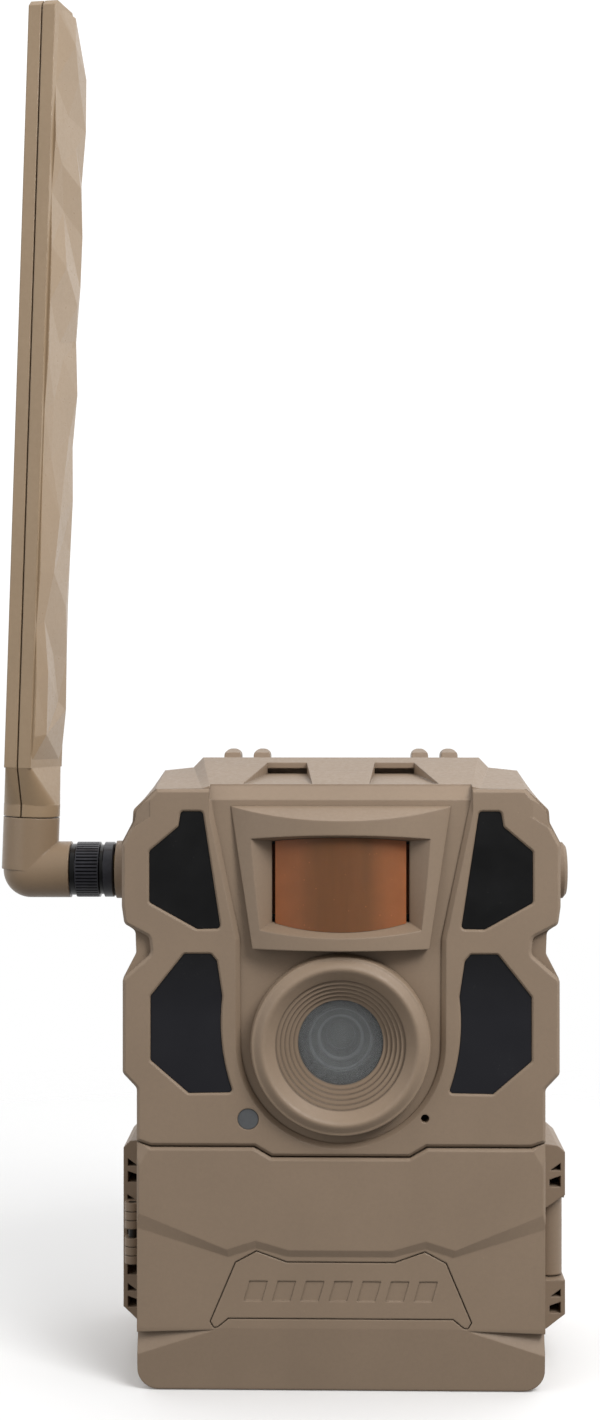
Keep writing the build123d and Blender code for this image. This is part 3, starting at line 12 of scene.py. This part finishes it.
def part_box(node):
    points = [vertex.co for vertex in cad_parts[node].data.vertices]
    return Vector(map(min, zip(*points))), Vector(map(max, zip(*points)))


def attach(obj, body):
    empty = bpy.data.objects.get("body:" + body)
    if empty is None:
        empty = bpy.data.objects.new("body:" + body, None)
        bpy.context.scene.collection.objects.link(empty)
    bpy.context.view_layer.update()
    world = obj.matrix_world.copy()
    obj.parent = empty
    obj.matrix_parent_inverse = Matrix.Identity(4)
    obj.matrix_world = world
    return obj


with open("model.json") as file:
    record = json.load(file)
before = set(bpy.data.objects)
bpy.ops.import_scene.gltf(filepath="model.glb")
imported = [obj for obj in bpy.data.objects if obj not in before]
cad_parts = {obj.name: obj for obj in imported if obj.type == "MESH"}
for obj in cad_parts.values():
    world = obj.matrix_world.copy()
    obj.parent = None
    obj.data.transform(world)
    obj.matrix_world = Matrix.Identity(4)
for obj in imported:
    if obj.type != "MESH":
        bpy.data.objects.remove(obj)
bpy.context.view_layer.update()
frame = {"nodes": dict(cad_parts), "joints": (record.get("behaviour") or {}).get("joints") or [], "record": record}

MM = 0.001
NODES = frame["nodes"]
JOINTS = {joint["name"]: joint for joint in frame["joints"]}

# ---- Shader building -----------------------------------------------------------------------------


class Nodes:
    """Short ways to add nodes to the tree of a material or a world."""

    def __init__(self, owner):
        owner.use_nodes = True
        self.tree = owner.node_tree

    def add(self, kind, **inputs):
        """A new node; inputs are given by socket name, as a value or as another node's output."""
        node = self.tree.nodes.new(kind)
        for name, value in inputs.items():
            self.feed(node.inputs[name.replace("_", " ")], value)
        return node

    def feed(self, socket, value):
        """Set a socket, or link it when the value is an output."""
        if isinstance(value, bpy.types.NodeSocket):
            self.tree.links.new(value, socket)
        else:
            socket.default_value = value

    def remap(self, value, low, high, out_low=0.0, out_high=1.0):
        """A value stretched from one range to another and clamped."""
        span = {"From_Min": low, "From_Max": high, "To_Min": out_low, "To_Max": out_high}
        return self.add("ShaderNodeMapRange", Value=value, **span).outputs[0]

    def math(self, operation, a, b=0.0):
        """Arithmetic on two values."""
        node = self.add("ShaderNodeMath")
        node.operation = operation
        self.feed(node.inputs[0], a)
        self.feed(node.inputs[1], b)
        return node.outputs[0]

    def vector_math(self, operation, a, b=None):
        """Arithmetic on one or two vectors."""
        node = self.add("ShaderNodeVectorMath")
        node.operation = operation
        self.feed(node.inputs[0], a)
        if b is not None:
            self.feed(node.inputs[1], b)
        return node.outputs["Value" if operation in ("LENGTH", "DOT_PRODUCT") else "Vector"]


class Shader(Nodes):
    """A Principled material with the patterns that the pieces share."""

    def __init__(self, name, **sockets):
        self.material = bpy.data.materials.new(name)
        super().__init__(self.material)
        self.bsdf = self.tree.nodes["Principled BSDF"]
        for socket, value in sockets.items():
            self.bsdf.inputs[socket.replace("_", " ")].default_value = value
        self.coords = self.add("ShaderNodeTexCoord").outputs["Object"]

    def noise(self, scale, detail=3.0, roughness=0.55, stretch=(1, 1, 1)):
        """Noise of the given scale per metre, from 0 to 1."""
        place = self.add("ShaderNodeMapping", Vector=self.coords, Scale=stretch).outputs[0]
        sizes = {"Scale": scale, "Detail": detail, "Roughness": roughness}
        return self.add("ShaderNodeTexNoise", Vector=place, **sizes).outputs["Fac"]

    def cells(self, scale):
        """Distance to the nearest of many scattered points."""
        return self.add("ShaderNodeTexVoronoi", Vector=self.coords, Scale=scale).outputs["Distance"]

    def mix(self, factor, a, b):
        """Two colours mixed by a factor."""
        node = self.add("ShaderNodeMix")
        node.data_type = "RGBA"
        for index, value in ((0, factor), (6, a), (7, b)):
            self.feed(node.inputs[index], value)
        return node.outputs[2]

    def crevices(self, distance):
        """Ambient-occlusion mask for painted shade: 1 deep in corners and gaps, 0 on open faces."""
        shade = self.add("ShaderNodeAmbientOcclusion", Distance=distance)
        shade.samples = 6
        return self.remap(shade.outputs["AO"], 0.75, 0.25)

    def axis_distance(self, piece, across):
        """Distance from the middle axis of a round piece; across is 0 along that axis, else 1."""
        low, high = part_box(piece)
        centre = tuple((low[i] + high[i]) / 2 for i in range(3))
        offset = self.vector_math("SUBTRACT", self.coords, centre)
        return self.vector_math("LENGTH", self.vector_math("MULTIPLY", offset, across))

    def rounded(self, radius):
        """Normals rounded over the edges, and a mask: 1 on sharp edges, 0 on flat faces."""
        bevel = self.add("ShaderNodeBevel", Radius=radius)
        bevel.samples = 4
        flat = self.add("ShaderNodeNewGeometry").outputs["Normal"]
        dot = self.vector_math("DOT_PRODUCT", bevel.outputs[0], flat)
        return bevel.outputs[0], self.remap(dot, 0.99, 0.86)

    def bump(self, *layers, normal=None):
        """Stack bumps, each a height output with its strength and depth in metres."""
        for height, strength, depth in layers:
            node = self.add("ShaderNodeBump", Height=height, Strength=strength, Distance=depth)
            if normal is not None:
                self.feed(node.inputs["Normal"], normal)
            normal = node.outputs[0]
        self.feed(self.bsdf.inputs["Normal"], normal)

    def finish(self, colour, roughness):
        """Set the finished colour and roughness and return the material."""
        self.feed(self.bsdf.inputs["Base Color"], colour)
        self.feed(self.bsdf.inputs["Roughness"], roughness)
        return self.material


def srgb(*channels):
    """A linear colour from red, green and blue screen values of 0 to 255."""

    def linear(value):
        value /= 255
        return value / 12.92 if value <= 0.04045 else ((value + 0.055) / 1.055) ** 2.4

    return tuple(linear(channel) for channel in channels) + (1.0,)


def scaled(colour, factor):
    """A colour made lighter or darker."""
    return tuple(channel * factor for channel in colour[:3]) + (1.0,)


# ---- Materials -----------------------------------------------------------------------------------


ALONG_X = (0.0, 1.0, 1.0)  # leaves out the coordinate along an axis parallel to X
ALONG_Y = (1.0, 0.0, 1.0)
STEP_OUTER = 15.5  # the baffle steps in front of the lens, in mm from its axis
STEP_INNER = 10.25
STEP_PITCH = 1.05
MOTTLE = 0.05  # how much the moulded plastic varies in lightness
HANDLING = 0.12  # how much the smoother plastic does
SMOOTH_EDGE = 0.2 * MM
KNURL_HEIGHT = 0.3 * MM
KNURL_CREST = 0.02 * MM
KNURL_EDGE = 0.06 * MM
BARREL_RINGS = ((3.2, 0.35, 0.6), (5.3, 0.5, 0.8), (7.4, 0.4, 0.6))  # radius, half width, strength
# Painted reflection: the black windows are painted paler below the first height, fully so at the second.
WINDOW_REFLECTION_START = 0.112  # height at which the black windows begin to look paler
WINDOW_REFLECTION_FULL = 0.09


def painted_step_shade(shader, body, shadow):
    """Painted shade in the inner corners of the baffle steps."""
    distance = shader.math("DIVIDE", shader.axis_distance("lens_barrel", ALONG_Y), MM)
    begun = shader.remap(distance, STEP_INNER - 0.3, STEP_INNER - 0.1)
    unfinished = shader.remap(distance, STEP_OUTER + 0.6, STEP_OUTER + 0.4)
    inside = shader.math("MULTIPLY", begun, unfinished)
    phase = shader.math("DIVIDE", shader.math("SUBTRACT", distance, STEP_INNER), STEP_PITCH)
    tooth = shader.math("PINGPONG", phase, 0.5)
    line = shader.remap(tooth, 0.26, 0.05, 0.0, 0.75)
    return shader.mix(shader.math("MULTIPLY", line, inside), body, shadow)


def moulded_plastic(name, colour, roughness=0.5, grain=0.1, edge_wear_and_highlight=0.3, radius=0.5, rings=False):
    """Injection-moulded plastic: grain, faint mottling, dust, edges lightened partly as worn and partly as a
    painted highlight, painted shade in corners.
    """
    shader = Shader(name, Specular_IOR_Level=0.42)
    broad = shader.noise(38.0, detail=4.0)
    streaks = shader.noise(60.0, detail=2.0, stretch=(1.0, 1.0, 0.25))
    fine = shader.noise(2400.0, detail=2.0)
    grit = shader.noise(900.0, detail=4.0, roughness=0.7)
    dark, light = scaled(colour, 1 - MOTTLE), scaled(colour, 1 + MOTTLE)
    body = shader.mix(shader.remap(broad, 0.3, 0.7), dark, light)
    body = shader.mix(shader.remap(streaks, 0.35, 0.75, 0.0, 0.35), body, scaled(colour, 1.12))
    body = shader.mix(shader.remap(grit, 0.35, 0.7, 0.0, 0.22), body, scaled(colour, 0.8))
    specks = shader.remap(shader.cells(620.0), 0.09, 0.05)
    rare = shader.remap(shader.noise(140.0), 0.6, 0.68)
    dust = shader.math("MULTIPLY", specks, rare)
    body = shader.mix(shader.math("MULTIPLY", dust, 0.5), body, scaled(colour, 1.9))
    soft, edges = shader.rounded(radius * MM)
    # Sharp edges lightened: partly worn, partly a painted highlight.
    lit_and_worn_edges = shader.math("MULTIPLY", edges, shader.remap(broad, 0.35, 0.75, 0.35, 1.0))
    body = shader.mix(shader.math("MULTIPLY", lit_and_worn_edges, edge_wear_and_highlight), body, scaled(colour, 1.75))
    # Painted shade: corners, gaps and creases darkened by ambient occlusion.
    crevice_shade = shader.math("MULTIPLY", shader.crevices(1.6 * MM), 0.45)
    body = shader.mix(crevice_shade, body, scaled(colour, 0.35))
    # Painted shade in the inner corners of the lens baffle steps.
    if rings:
        body = painted_step_shade(shader, body, scaled(colour, 0.5))
    shine = shader.remap(grit, 0.3, 0.7, roughness - 0.06, roughness + 0.08)
    shine = shader.math("SUBTRACT", shine, shader.math("MULTIPLY", lit_and_worn_edges, 0.12))
    layers = ((fine, grain, 0.06 * MM), (grit, grain * 1.4, 0.12 * MM), (broad, 0.05, 0.8 * MM))
    shader.bump(*layers, normal=soft)
    return shader.finish(body, shine)


def smooth_plastic(name, colour, roughness, grain=0.03, **sockets):
    """A smoother moulded or turned part with faint handling marks."""
    shader = Shader(name, **sockets)
    marks = shader.noise(220.0, detail=5.0, roughness=0.65)
    fine = shader.noise(1800.0, detail=2.0)
    dark, light = scaled(colour, 1 - HANDLING), scaled(colour, 1 + HANDLING)
    body = shader.mix(shader.remap(marks, 0.3, 0.7), dark, light)
    shine = shader.remap(marks, 0.3, 0.75, roughness - 0.05, roughness + 0.1)
    soft, _ = shader.rounded(SMOOTH_EDGE)
    shader.bump((fine, grain, 0.05 * MM), (marks, grain, 0.1 * MM), normal=soft)
    return shader.finish(body, shine)


def knurled_plastic(name, colour, crest_highlight):
    """Glossy grip whose ridges along X carry a painted highlight that makes them lighter than the valleys between
    them.
    """
    shader = Shader(name)
    low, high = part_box("antenna_nut")
    outside = (high[2] - low[2]) / 2
    distance = shader.axis_distance("antenna_nut", ALONG_X)
    smears = shader.noise(300.0, detail=4.0)
    height = shader.remap(distance, outside - KNURL_HEIGHT, outside - KNURL_CREST)
    # Painted highlight on the ridge crests, broken up by smears.
    lit_and_worn_edges = shader.math("MULTIPLY", height, shader.remap(smears, 0.3, 0.7, 0.6, 1.0))
    body = shader.mix(lit_and_worn_edges, colour, crest_highlight)
    soft, _ = shader.rounded(KNURL_EDGE)
    shader.bump((shader.noise(1800.0), 0.03, 0.04 * MM), normal=soft)
    return shader.finish(body, shader.remap(smears, 0.3, 0.7, 0.14, 0.26))


def ringed_plastic(name, colour, ring_colour):
    """Grey plastic round the lens axis, with thin paler rings at the radii in BARREL_RINGS."""
    shader = Shader(name)
    distance = shader.axis_distance("lens_barrel", ALONG_Y)
    body = colour
    for ring, half, strength in BARREL_RINGS:
        gap = shader.math("ABSOLUTE", shader.math("SUBTRACT", distance, ring * MM))
        mask = shader.remap(gap, half * MM, half * 0.4 * MM, 0.0, strength)
        body = shader.mix(mask, body, ring_colour)
    haze = shader.noise(200.0)
    body = shader.mix(shader.remap(haze, 0.3, 0.7, 0.0, 0.2), body, scaled(colour, 1.3))
    return shader.finish(body, 0.45)


def window_black(name, colour, reflection_colour):
    """Infrared-pass window: near-black satin plastic, made paler low down by a painted reflection, with dust and
    hairlines.
    """
    shader = Shader(name, Specular_IOR_Level=0.4)
    haze = shader.noise(90.0, detail=5.0, roughness=0.6)
    hairs = shader.noise(500.0, detail=3.0, stretch=(1.0, 1.0, 0.12))
    specks = shader.remap(shader.cells(900.0), 0.07, 0.03)
    dust = shader.math("MULTIPLY", specks, shader.remap(haze, 0.5, 0.62))
    body = shader.mix(shader.remap(haze, 0.3, 0.7), scaled(colour, 0.8), scaled(colour, 1.25))
    height = shader.add("ShaderNodeSeparateXYZ", Vector=shader.coords).outputs["Z"]
    # Painted reflection of the bright floor and sky on the lower windows.
    painted_reflection = shader.remap(height, WINDOW_REFLECTION_START, WINDOW_REFLECTION_FULL, 0.0, 0.8)
    body = shader.mix(painted_reflection, body, reflection_colour)
    body = shader.mix(shader.math("MULTIPLY", dust, 0.5), body, srgb(120, 118, 112))
    shine = shader.remap(haze, 0.3, 0.7, 0.30, 0.42)
    shader.bump((hairs, 0.04, 0.03 * MM), (shader.noise(1500.0), 0.05, 0.03 * MM))
    return shader.finish(body, shine)


def pir_film(name, colour, lit_end_colour):
    """Thin orange-brown polyethylene, with painted light making it lighter towards its left and right ends."""
    shader = Shader(name, Subsurface_Weight=0.25, Subsurface_Scale=1.2 * MM, Specular_IOR_Level=0.3)
    shader.bsdf.inputs["Subsurface Radius"].default_value = (1.0, 0.35, 0.12)
    low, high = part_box("pir_lens")
    half = (high[0] - low[0]) / 2
    split = shader.add("ShaderNodeSeparateXYZ", Vector=shader.coords)
    across = shader.math("ABSOLUTE", split.outputs["X"])
    # Painted light: lighter towards both ends of the curved film.
    ends = shader.remap(across, half * 0.3, half * 0.78)
    clouds = shader.noise(120.0, detail=4.0)
    upright = shader.noise(420.0, detail=3.0, stretch=(1.0, 1.0, 0.08))
    body = shader.mix(ends, colour, lit_end_colour)
    body = shader.mix(shader.remap(clouds, 0.3, 0.7, 0.0, 0.35), body, scaled(colour, 0.72))
    body = shader.mix(shader.remap(upright, 0.35, 0.7, 0.0, 0.08), body, scaled(lit_end_colour, 1.15))
    flecks = shader.remap(shader.cells(520.0), 0.08, 0.04)
    body = shader.mix(shader.math("MULTIPLY", flecks, 0.5), body, scaled(lit_end_colour, 1.8))
    shader.bump((shader.noise(900.0, detail=4.0), 0.12, 0.08 * MM), (upright, 0.08, 0.1 * MM))
    return shader.finish(body, shader.remap(clouds, 0.3, 0.7, 0.42, 0.55))


def metal(name, colour, roughness=0.3):
    """Plated or machined metal with fine turning marks."""
    shader = Shader(name, Metallic=1.0)
    lines = shader.noise(900.0, detail=3.0, stretch=(0.15, 0.15, 1.0))
    stains = shader.noise(160.0, detail=4.0)
    body = shader.mix(shader.remap(stains, 0.3, 0.7), scaled(colour, 0.8), scaled(colour, 1.1))
    shader.bump((lines, 0.1, 0.04 * MM))
    return shader.finish(body, shader.remap(stains, 0.3, 0.7, roughness - 0.06, roughness + 0.12))


def glass(name, colour):
    """A clear piece with faint smears."""
    shader = Shader(name, Transmission_Weight=0.9, IOR=1.47)
    smears = shader.noise(180.0, detail=4.0)
    body = shader.mix(shader.remap(smears, 0.3, 0.7, 0.0, 0.3), colour, scaled(colour, 0.85))
    return shader.finish(body, shader.remap(smears, 0.3, 0.7, 0.04, 0.09))


def circuit_board(name, colour):
    """Solder mask with copper tracks showing through it."""
    shader = Shader(name, Coat_Weight=0.3, Coat_Roughness=0.2)
    bricks = {"Scale": 260.0, "Mortar_Size": 0.03}
    tracks = shader.add("ShaderNodeTexBrick", Vector=shader.coords, **bricks).outputs["Fac"]
    clouds = shader.noise(300.0)
    body = shader.mix(tracks, colour, scaled(colour, 1.9))
    body = shader.mix(shader.remap(clouds, 0.3, 0.7, 0.0, 0.3), body, scaled(colour, 0.7))
    shader.bump((tracks, 0.2, 0.05 * MM))
    return shader.finish(body, shader.remap(clouds, 0.3, 0.7, 0.3, 0.45))


def woven(name, colour):
    """Ribbon webbing: an over-and-under weave with fuzz."""
    shader = Shader(name, Sheen_Weight=0.3)
    weave = shader.add("ShaderNodeTexWave", Vector=shader.coords, Scale=900.0, Distortion=0.4)
    weave.bands_direction = "Z"
    fuzz = shader.noise(2500.0)
    body = shader.mix(weave.outputs["Fac"], scaled(colour, 0.6), scaled(colour, 1.6))
    shader.bump((weave.outputs["Fac"], 0.4, 0.15 * MM), (fuzz, 0.2, 0.05 * MM))
    return shader.finish(body, shader.remap(fuzz, 0.3, 0.7, 0.75, 0.95))


TAN = srgb(140, 121, 102)
TAN_ANTENNA = srgb(154, 131, 104)

MATERIALS = {
    "tan_housing": moulded_plastic("tan_moulded", TAN),
    "tan_antenna": moulded_plastic("tan_antenna_moulded", TAN_ANTENNA, roughness=0.4, grain=0.05),
    "ir_window": window_black("infrared_black", srgb(5, 5, 6), srgb(33, 33, 38)),
    "pir_film": pir_film("pir_film", srgb(113, 75, 47), srgb(164, 99, 60)),
    "black_plastic": smooth_plastic("black_plastic", srgb(17, 17, 19), roughness=0.26),
    "grey_plastic": smooth_plastic("grey_plastic", srgb(120, 122, 122), roughness=0.4),
    "clear_glass": glass("clear_glass", srgb(225, 228, 228)),
    "sensor_grey": smooth_plastic("sensor_grey", srgb(112, 110, 105), roughness=0.45),
    "rubber_seal": smooth_plastic("rubber_seal", srgb(40, 40, 40), roughness=0.8, grain=0.1),
    "rubber_tan": moulded_plastic("rubber_tan", scaled(TAN, 0.95), roughness=0.65, grain=0.14),
    "steel": metal("plated_steel", srgb(190, 190, 188)),
    "dark_steel": metal("blackened_steel", srgb(70, 68, 66), roughness=0.4),
    "brass": metal("machined_brass", srgb(200, 165, 95), roughness=0.28),
    "circuit_board": circuit_board("solder_mask", srgb(24, 84, 50)),
    "electronics": smooth_plastic("component_black", srgb(38, 38, 40), roughness=0.5, grain=0.1),
    "led_lens": smooth_plastic(
        "led_dome", srgb(205, 208, 215), roughness=0.12, Transmission_Weight=0.5
    ),
    "cell_wrap": smooth_plastic("cell_wrap", srgb(46, 50, 58), roughness=0.22),
    "gold_contact": metal("gold_plate", srgb(220, 180, 95), roughness=0.22),
    "button_rubber": smooth_plastic("button_rubber", srgb(72, 73, 75), roughness=0.6, grain=0.12),
    "screen": smooth_plastic("display_glass", srgb(38, 48, 44), roughness=0.08, Coat_Weight=1.0),
    "webbing": woven("ribbon", srgb(34, 34, 36)),
}

# Pieces whose detail is finer than the rest of their slot.
FINE = {
    # The shroud's tan is 10% lighter as painted light, with a stronger painted highlight on its edges and painted
    # shade in its baffle steps.
    "lens_shroud": moulded_plastic("tan_fine_lit", scaled(TAN, 1.1), radius=0.25, edge_wear_and_highlight=0.6, rings=True),
    "lens_barrel": ringed_plastic("barrel_rings", srgb(58, 60, 62), srgb(196, 198, 200)),
    "antenna_elbow": moulded_plastic("tan_elbow", srgb(142, 121, 98), roughness=0.34, grain=0.05),
    "antenna_nut": knurled_plastic("knurled_black", srgb(8, 8, 9), srgb(52, 52, 58)),
    "light_sensor_window": smooth_plastic("photocell_grey", srgb(88, 90, 92), roughness=0.4),
    "mic_mesh": smooth_plastic("mic_black", srgb(10, 10, 11), roughness=0.7, grain=0.2),
}

for entry in frame["record"]["subparts"]:
    node = NODES[entry["node"]]
    node.data.materials.clear()
    node.data.materials.append(FINE.get(entry["node"], MATERIALS[entry["material_slot"]]))

# ---- Antenna relief ------------------------------------------------------------------------------

BLADE_TURN = math.radians(-14.0)
BLADE_WIDTH = 21.0  # this and the other blade and relief sizes are in mm
BLADE_THICKNESS = 7.2
BLADE_LENGTH = 207.2
RELIEF_BOTTOM = 14.0
RELIEF_SEED = 5
RIM_ROWS = 13
RIM_END = 13.0  # from the highest rim row to the top
RIM_LIFT = (0.0, 0.9)
RIM_SINK = 0.3  # how far the rim goes into the blade's face
BOTTOM_LIFT = -0.25
CREST_ROWS = 25
CREST_START = 6.0
CREST_PITCH = 7.4
CREST_LIFT = (0.2, 1.9)
CREST_ACROSS = (1.0, 7.0)
CREST_SHIFT = (-3.0, 3.0)
TOP_BEVEL = 9.2


def blade_matrix():
    """From blade coordinates (thickness, width, length) to the frame."""
    joint = JOINTS["antenna_blade_turn"]
    along = Vector(joint["axis"]).normalized()
    sideways = Vector((along.z, 0, -along.x))
    turn = Matrix.Rotation(BLADE_TURN, 3, along)
    out = turn @ sideways
    matrix = Matrix((out, along.cross(out), along)).transposed().to_4x4()
    matrix.translation = Vector(joint["pos_m"])
    return matrix


def faceted_relief():
    """Long low-poly facets on the broad face of the blade that looks at the camera body."""
    random.seed(RELIEF_SEED)
    half = BLADE_WIDTH / 2 - 0.3
    top = BLADE_LENGTH - 0.8
    rise = (top - RIM_END - RELIEF_BOTTOM) / RIM_ROWS
    rim = [(-half, RELIEF_BOTTOM), (half, RELIEF_BOTTOM)]
    rim += [(half, RELIEF_BOTTOM + rise * (row + 1)) for row in range(RIM_ROWS)]
    rim += [(half - TOP_BEVEL, top), (-half + 1.2, top), (-half, top - 1.4)]
    rim += [(-half, RELIEF_BOTTOM + rise * (row + 0.5)) for row in reversed(range(RIM_ROWS))]
    crests = []
    for row in range(CREST_ROWS):
        height = RELIEF_BOTTOM + CREST_START + CREST_PITCH * row
        across = random.uniform(*CREST_ACROSS) * (1 if row % 2 else -1)
        crests.append((across, height + random.uniform(*CREST_SHIFT)))
    count = len(rim)
    points = [Vector(point) for point in rim + crests]
    edges = [(i, (i + 1) % count) for i in range(count)]
    flat, _, faces, *_ = delaunay_2d_cdt(points, edges, [], 1, 1e-6)
    base = BLADE_THICKNESS / 2
    lifts = [random.uniform(*RIM_LIFT) for _ in rim]
    lifts += [random.uniform(*CREST_LIFT) for _ in crests]
    lifts[0] = lifts[1] = BOTTOM_LIFT
    vertices = [(base + lift, point.x, point.y) for lift, point in zip(lifts, flat)]
    vertices += [(base - RIM_SINK, point.x, point.y) for point in flat[:count]]
    start = len(flat)
    skin = [tuple(face) for face in faces]
    for i in range(count):
        after = (i + 1) % count
        skin.append((i, start + i, start + after, after))
    skin.append(tuple(start + i for i in reversed(range(count))))
    mesh = bpy.data.meshes.new("antenna_relief")
    mesh.from_pydata([tuple(c * MM for c in vertex) for vertex in vertices], [], skin)
    mesh.transform(blade_matrix())
    mesh.validate()
    made = bpy.data.objects.new("antenna_relief", mesh)
    bpy.context.collection.objects.link(made)
    return made


relief = faceted_relief()
# The facets' edges get a stronger lightening, partly worn and partly a painted highlight.
relief.data.materials.append(
    moulded_plastic("tan_facets", TAN_ANTENNA, roughness=0.32, grain=0.05, edge_wear_and_highlight=0.6, radius=0.3)
)
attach(relief, "antenna_blade")

# ---- Floor, lights and camera --------------------------------------------------------------------

DISTANCE = 0.516  # from the camera to the middle of the object
AIM = (-0.0105, 0.0, 0.164)
VIEW_YAW = math.radians(1.2)  # the camera stands a little to the object's right
VIEW_ANGLE = math.radians(39.03)
SENSOR_WIDTH = 36.0  # in mm, as camera sensors are given
WORLD_FRONT = 0.25  # brightness of the surroundings in front of the object and behind it
WORLD_BACK = 1.12
WORLD_TOP = 0.12  # added overhead
WORLD_BELOW = 0.6  # share that is left underneath
WORLD_SIDE = 0.12  # share gained on the right and lost on the left
FLOOR_HALF = 0.6
FLOOR_SOLID = 0.16  # radius of the floor before it fades out
FLOOR_EDGE = 0.42
FLOOR_DARK = (0.86, 0.86, 0.86, 1)
FLOOR_LIGHT = (0.9, 0.9, 0.9, 1)

# Name, place, target, size, and power in watts.
LIGHTS = (
    ("key", (0.42, -0.64, 0.84), (0, 0, 0.1), 0.5, 4.5),
    ("upper", (0.3, -0.42, 0.44), (0, 0, 0.13), 0.2, 1.25),
    ("fill", (-0.9, -0.9, 0.5), (0, 0, 0.1), 0.9, 3.8),
    ("top", (0.1, 0.25, 1.2), (0, 0, 0.1), 0.8, 0.8),
)


def make_floor():
    """A pale floor under the camera's base that fades away with distance."""
    mesh = bpy.data.meshes.new("floor")
    corners = [(FLOOR_HALF * x, FLOOR_HALF * y, 0) for x, y in ((-1, -1), (1, -1), (1, 1), (-1, 1))]
    mesh.from_pydata(corners, [], [(0, 1, 2, 3)])
    floor = bpy.data.objects.new("floor", mesh)
    bpy.context.collection.objects.link(floor)
    shader = Shader("pale_floor", Specular_IOR_Level=0.1)
    distance = shader.vector_math("LENGTH", shader.coords)
    fade = shader.remap(distance, FLOOR_SOLID, FLOOR_EDGE, 1.0, 0.0)
    shader.feed(shader.bsdf.inputs["Alpha"], fade)
    body = shader.mix(shader.noise(3.0), FLOOR_DARK, FLOOR_LIGHT)
    mesh.materials.append(shader.finish(body, 0.9))
    floor.visible_diffuse = False
    floor.visible_glossy = False


def area_light(name, place, target, size, energy):
    """A square soft light at a place, aimed at a target."""
    data = bpy.data.lights.new(name, "AREA")
    data.size = size
    data.energy = energy
    light = bpy.data.objects.new(name, data)
    light.location = place
    aim = Vector(target) - Vector(place)
    light.rotation_euler = aim.to_track_quat("-Z", "Y").to_euler()
    bpy.context.collection.objects.link(light)


def make_world():
    """White behind the object, bright above and behind it, dim in front of it and below."""
    world = bpy.data.worlds.new("studio")
    nodes = Nodes(world)
    direction = nodes.add("ShaderNodeTexCoord").outputs["Generated"]
    split = nodes.add("ShaderNodeSeparateXYZ", Vector=direction)
    level = nodes.remap(split.outputs["Y"], -0.75, 0.45, WORLD_FRONT, WORLD_BACK)
    above = nodes.remap(split.outputs["Z"], 0.0, 1.0, 0.0, WORLD_TOP)
    below = nodes.remap(split.outputs["Z"], -0.5, 0.05, WORLD_BELOW, 1.0)
    aside = nodes.remap(split.outputs["X"], -1.0, 1.0, 1.0 - WORLD_SIDE, 1.0 + WORLD_SIDE)
    level = nodes.math("MULTIPLY", nodes.math("ADD", level, above), below)
    level = nodes.math("MULTIPLY", level, aside)
    seen = nodes.add("ShaderNodeLightPath").outputs["Is Camera Ray"]
    background = nodes.tree.nodes["Background"]
    background.inputs["Color"].default_value = (1, 1, 1, 1)
    nodes.feed(background.inputs["Strength"], nodes.math("MAXIMUM", level, seen))
    bpy.context.scene.world = world


def make_camera():
    """A level camera in front of the face, turned slightly round the object."""
    data = bpy.data.cameras.new("view")
    data.sensor_width = SENSOR_WIDTH
    data.lens = data.sensor_width / 2 / math.tan(VIEW_ANGLE / 2)
    camera = bpy.data.objects.new("view", data)
    away = Vector((math.sin(VIEW_YAW), -math.cos(VIEW_YAW), 0))
    camera.location = Vector(AIM) + away * DISTANCE
    camera.rotation_euler = (math.radians(90), 0, VIEW_YAW)
    bpy.context.collection.objects.link(camera)
    bpy.context.scene.camera = camera


make_floor()
make_world()
for light in LIGHTS:
    area_light(*light)
make_camera()
bpy.context.scene.view_settings.view_transform = "Standard"
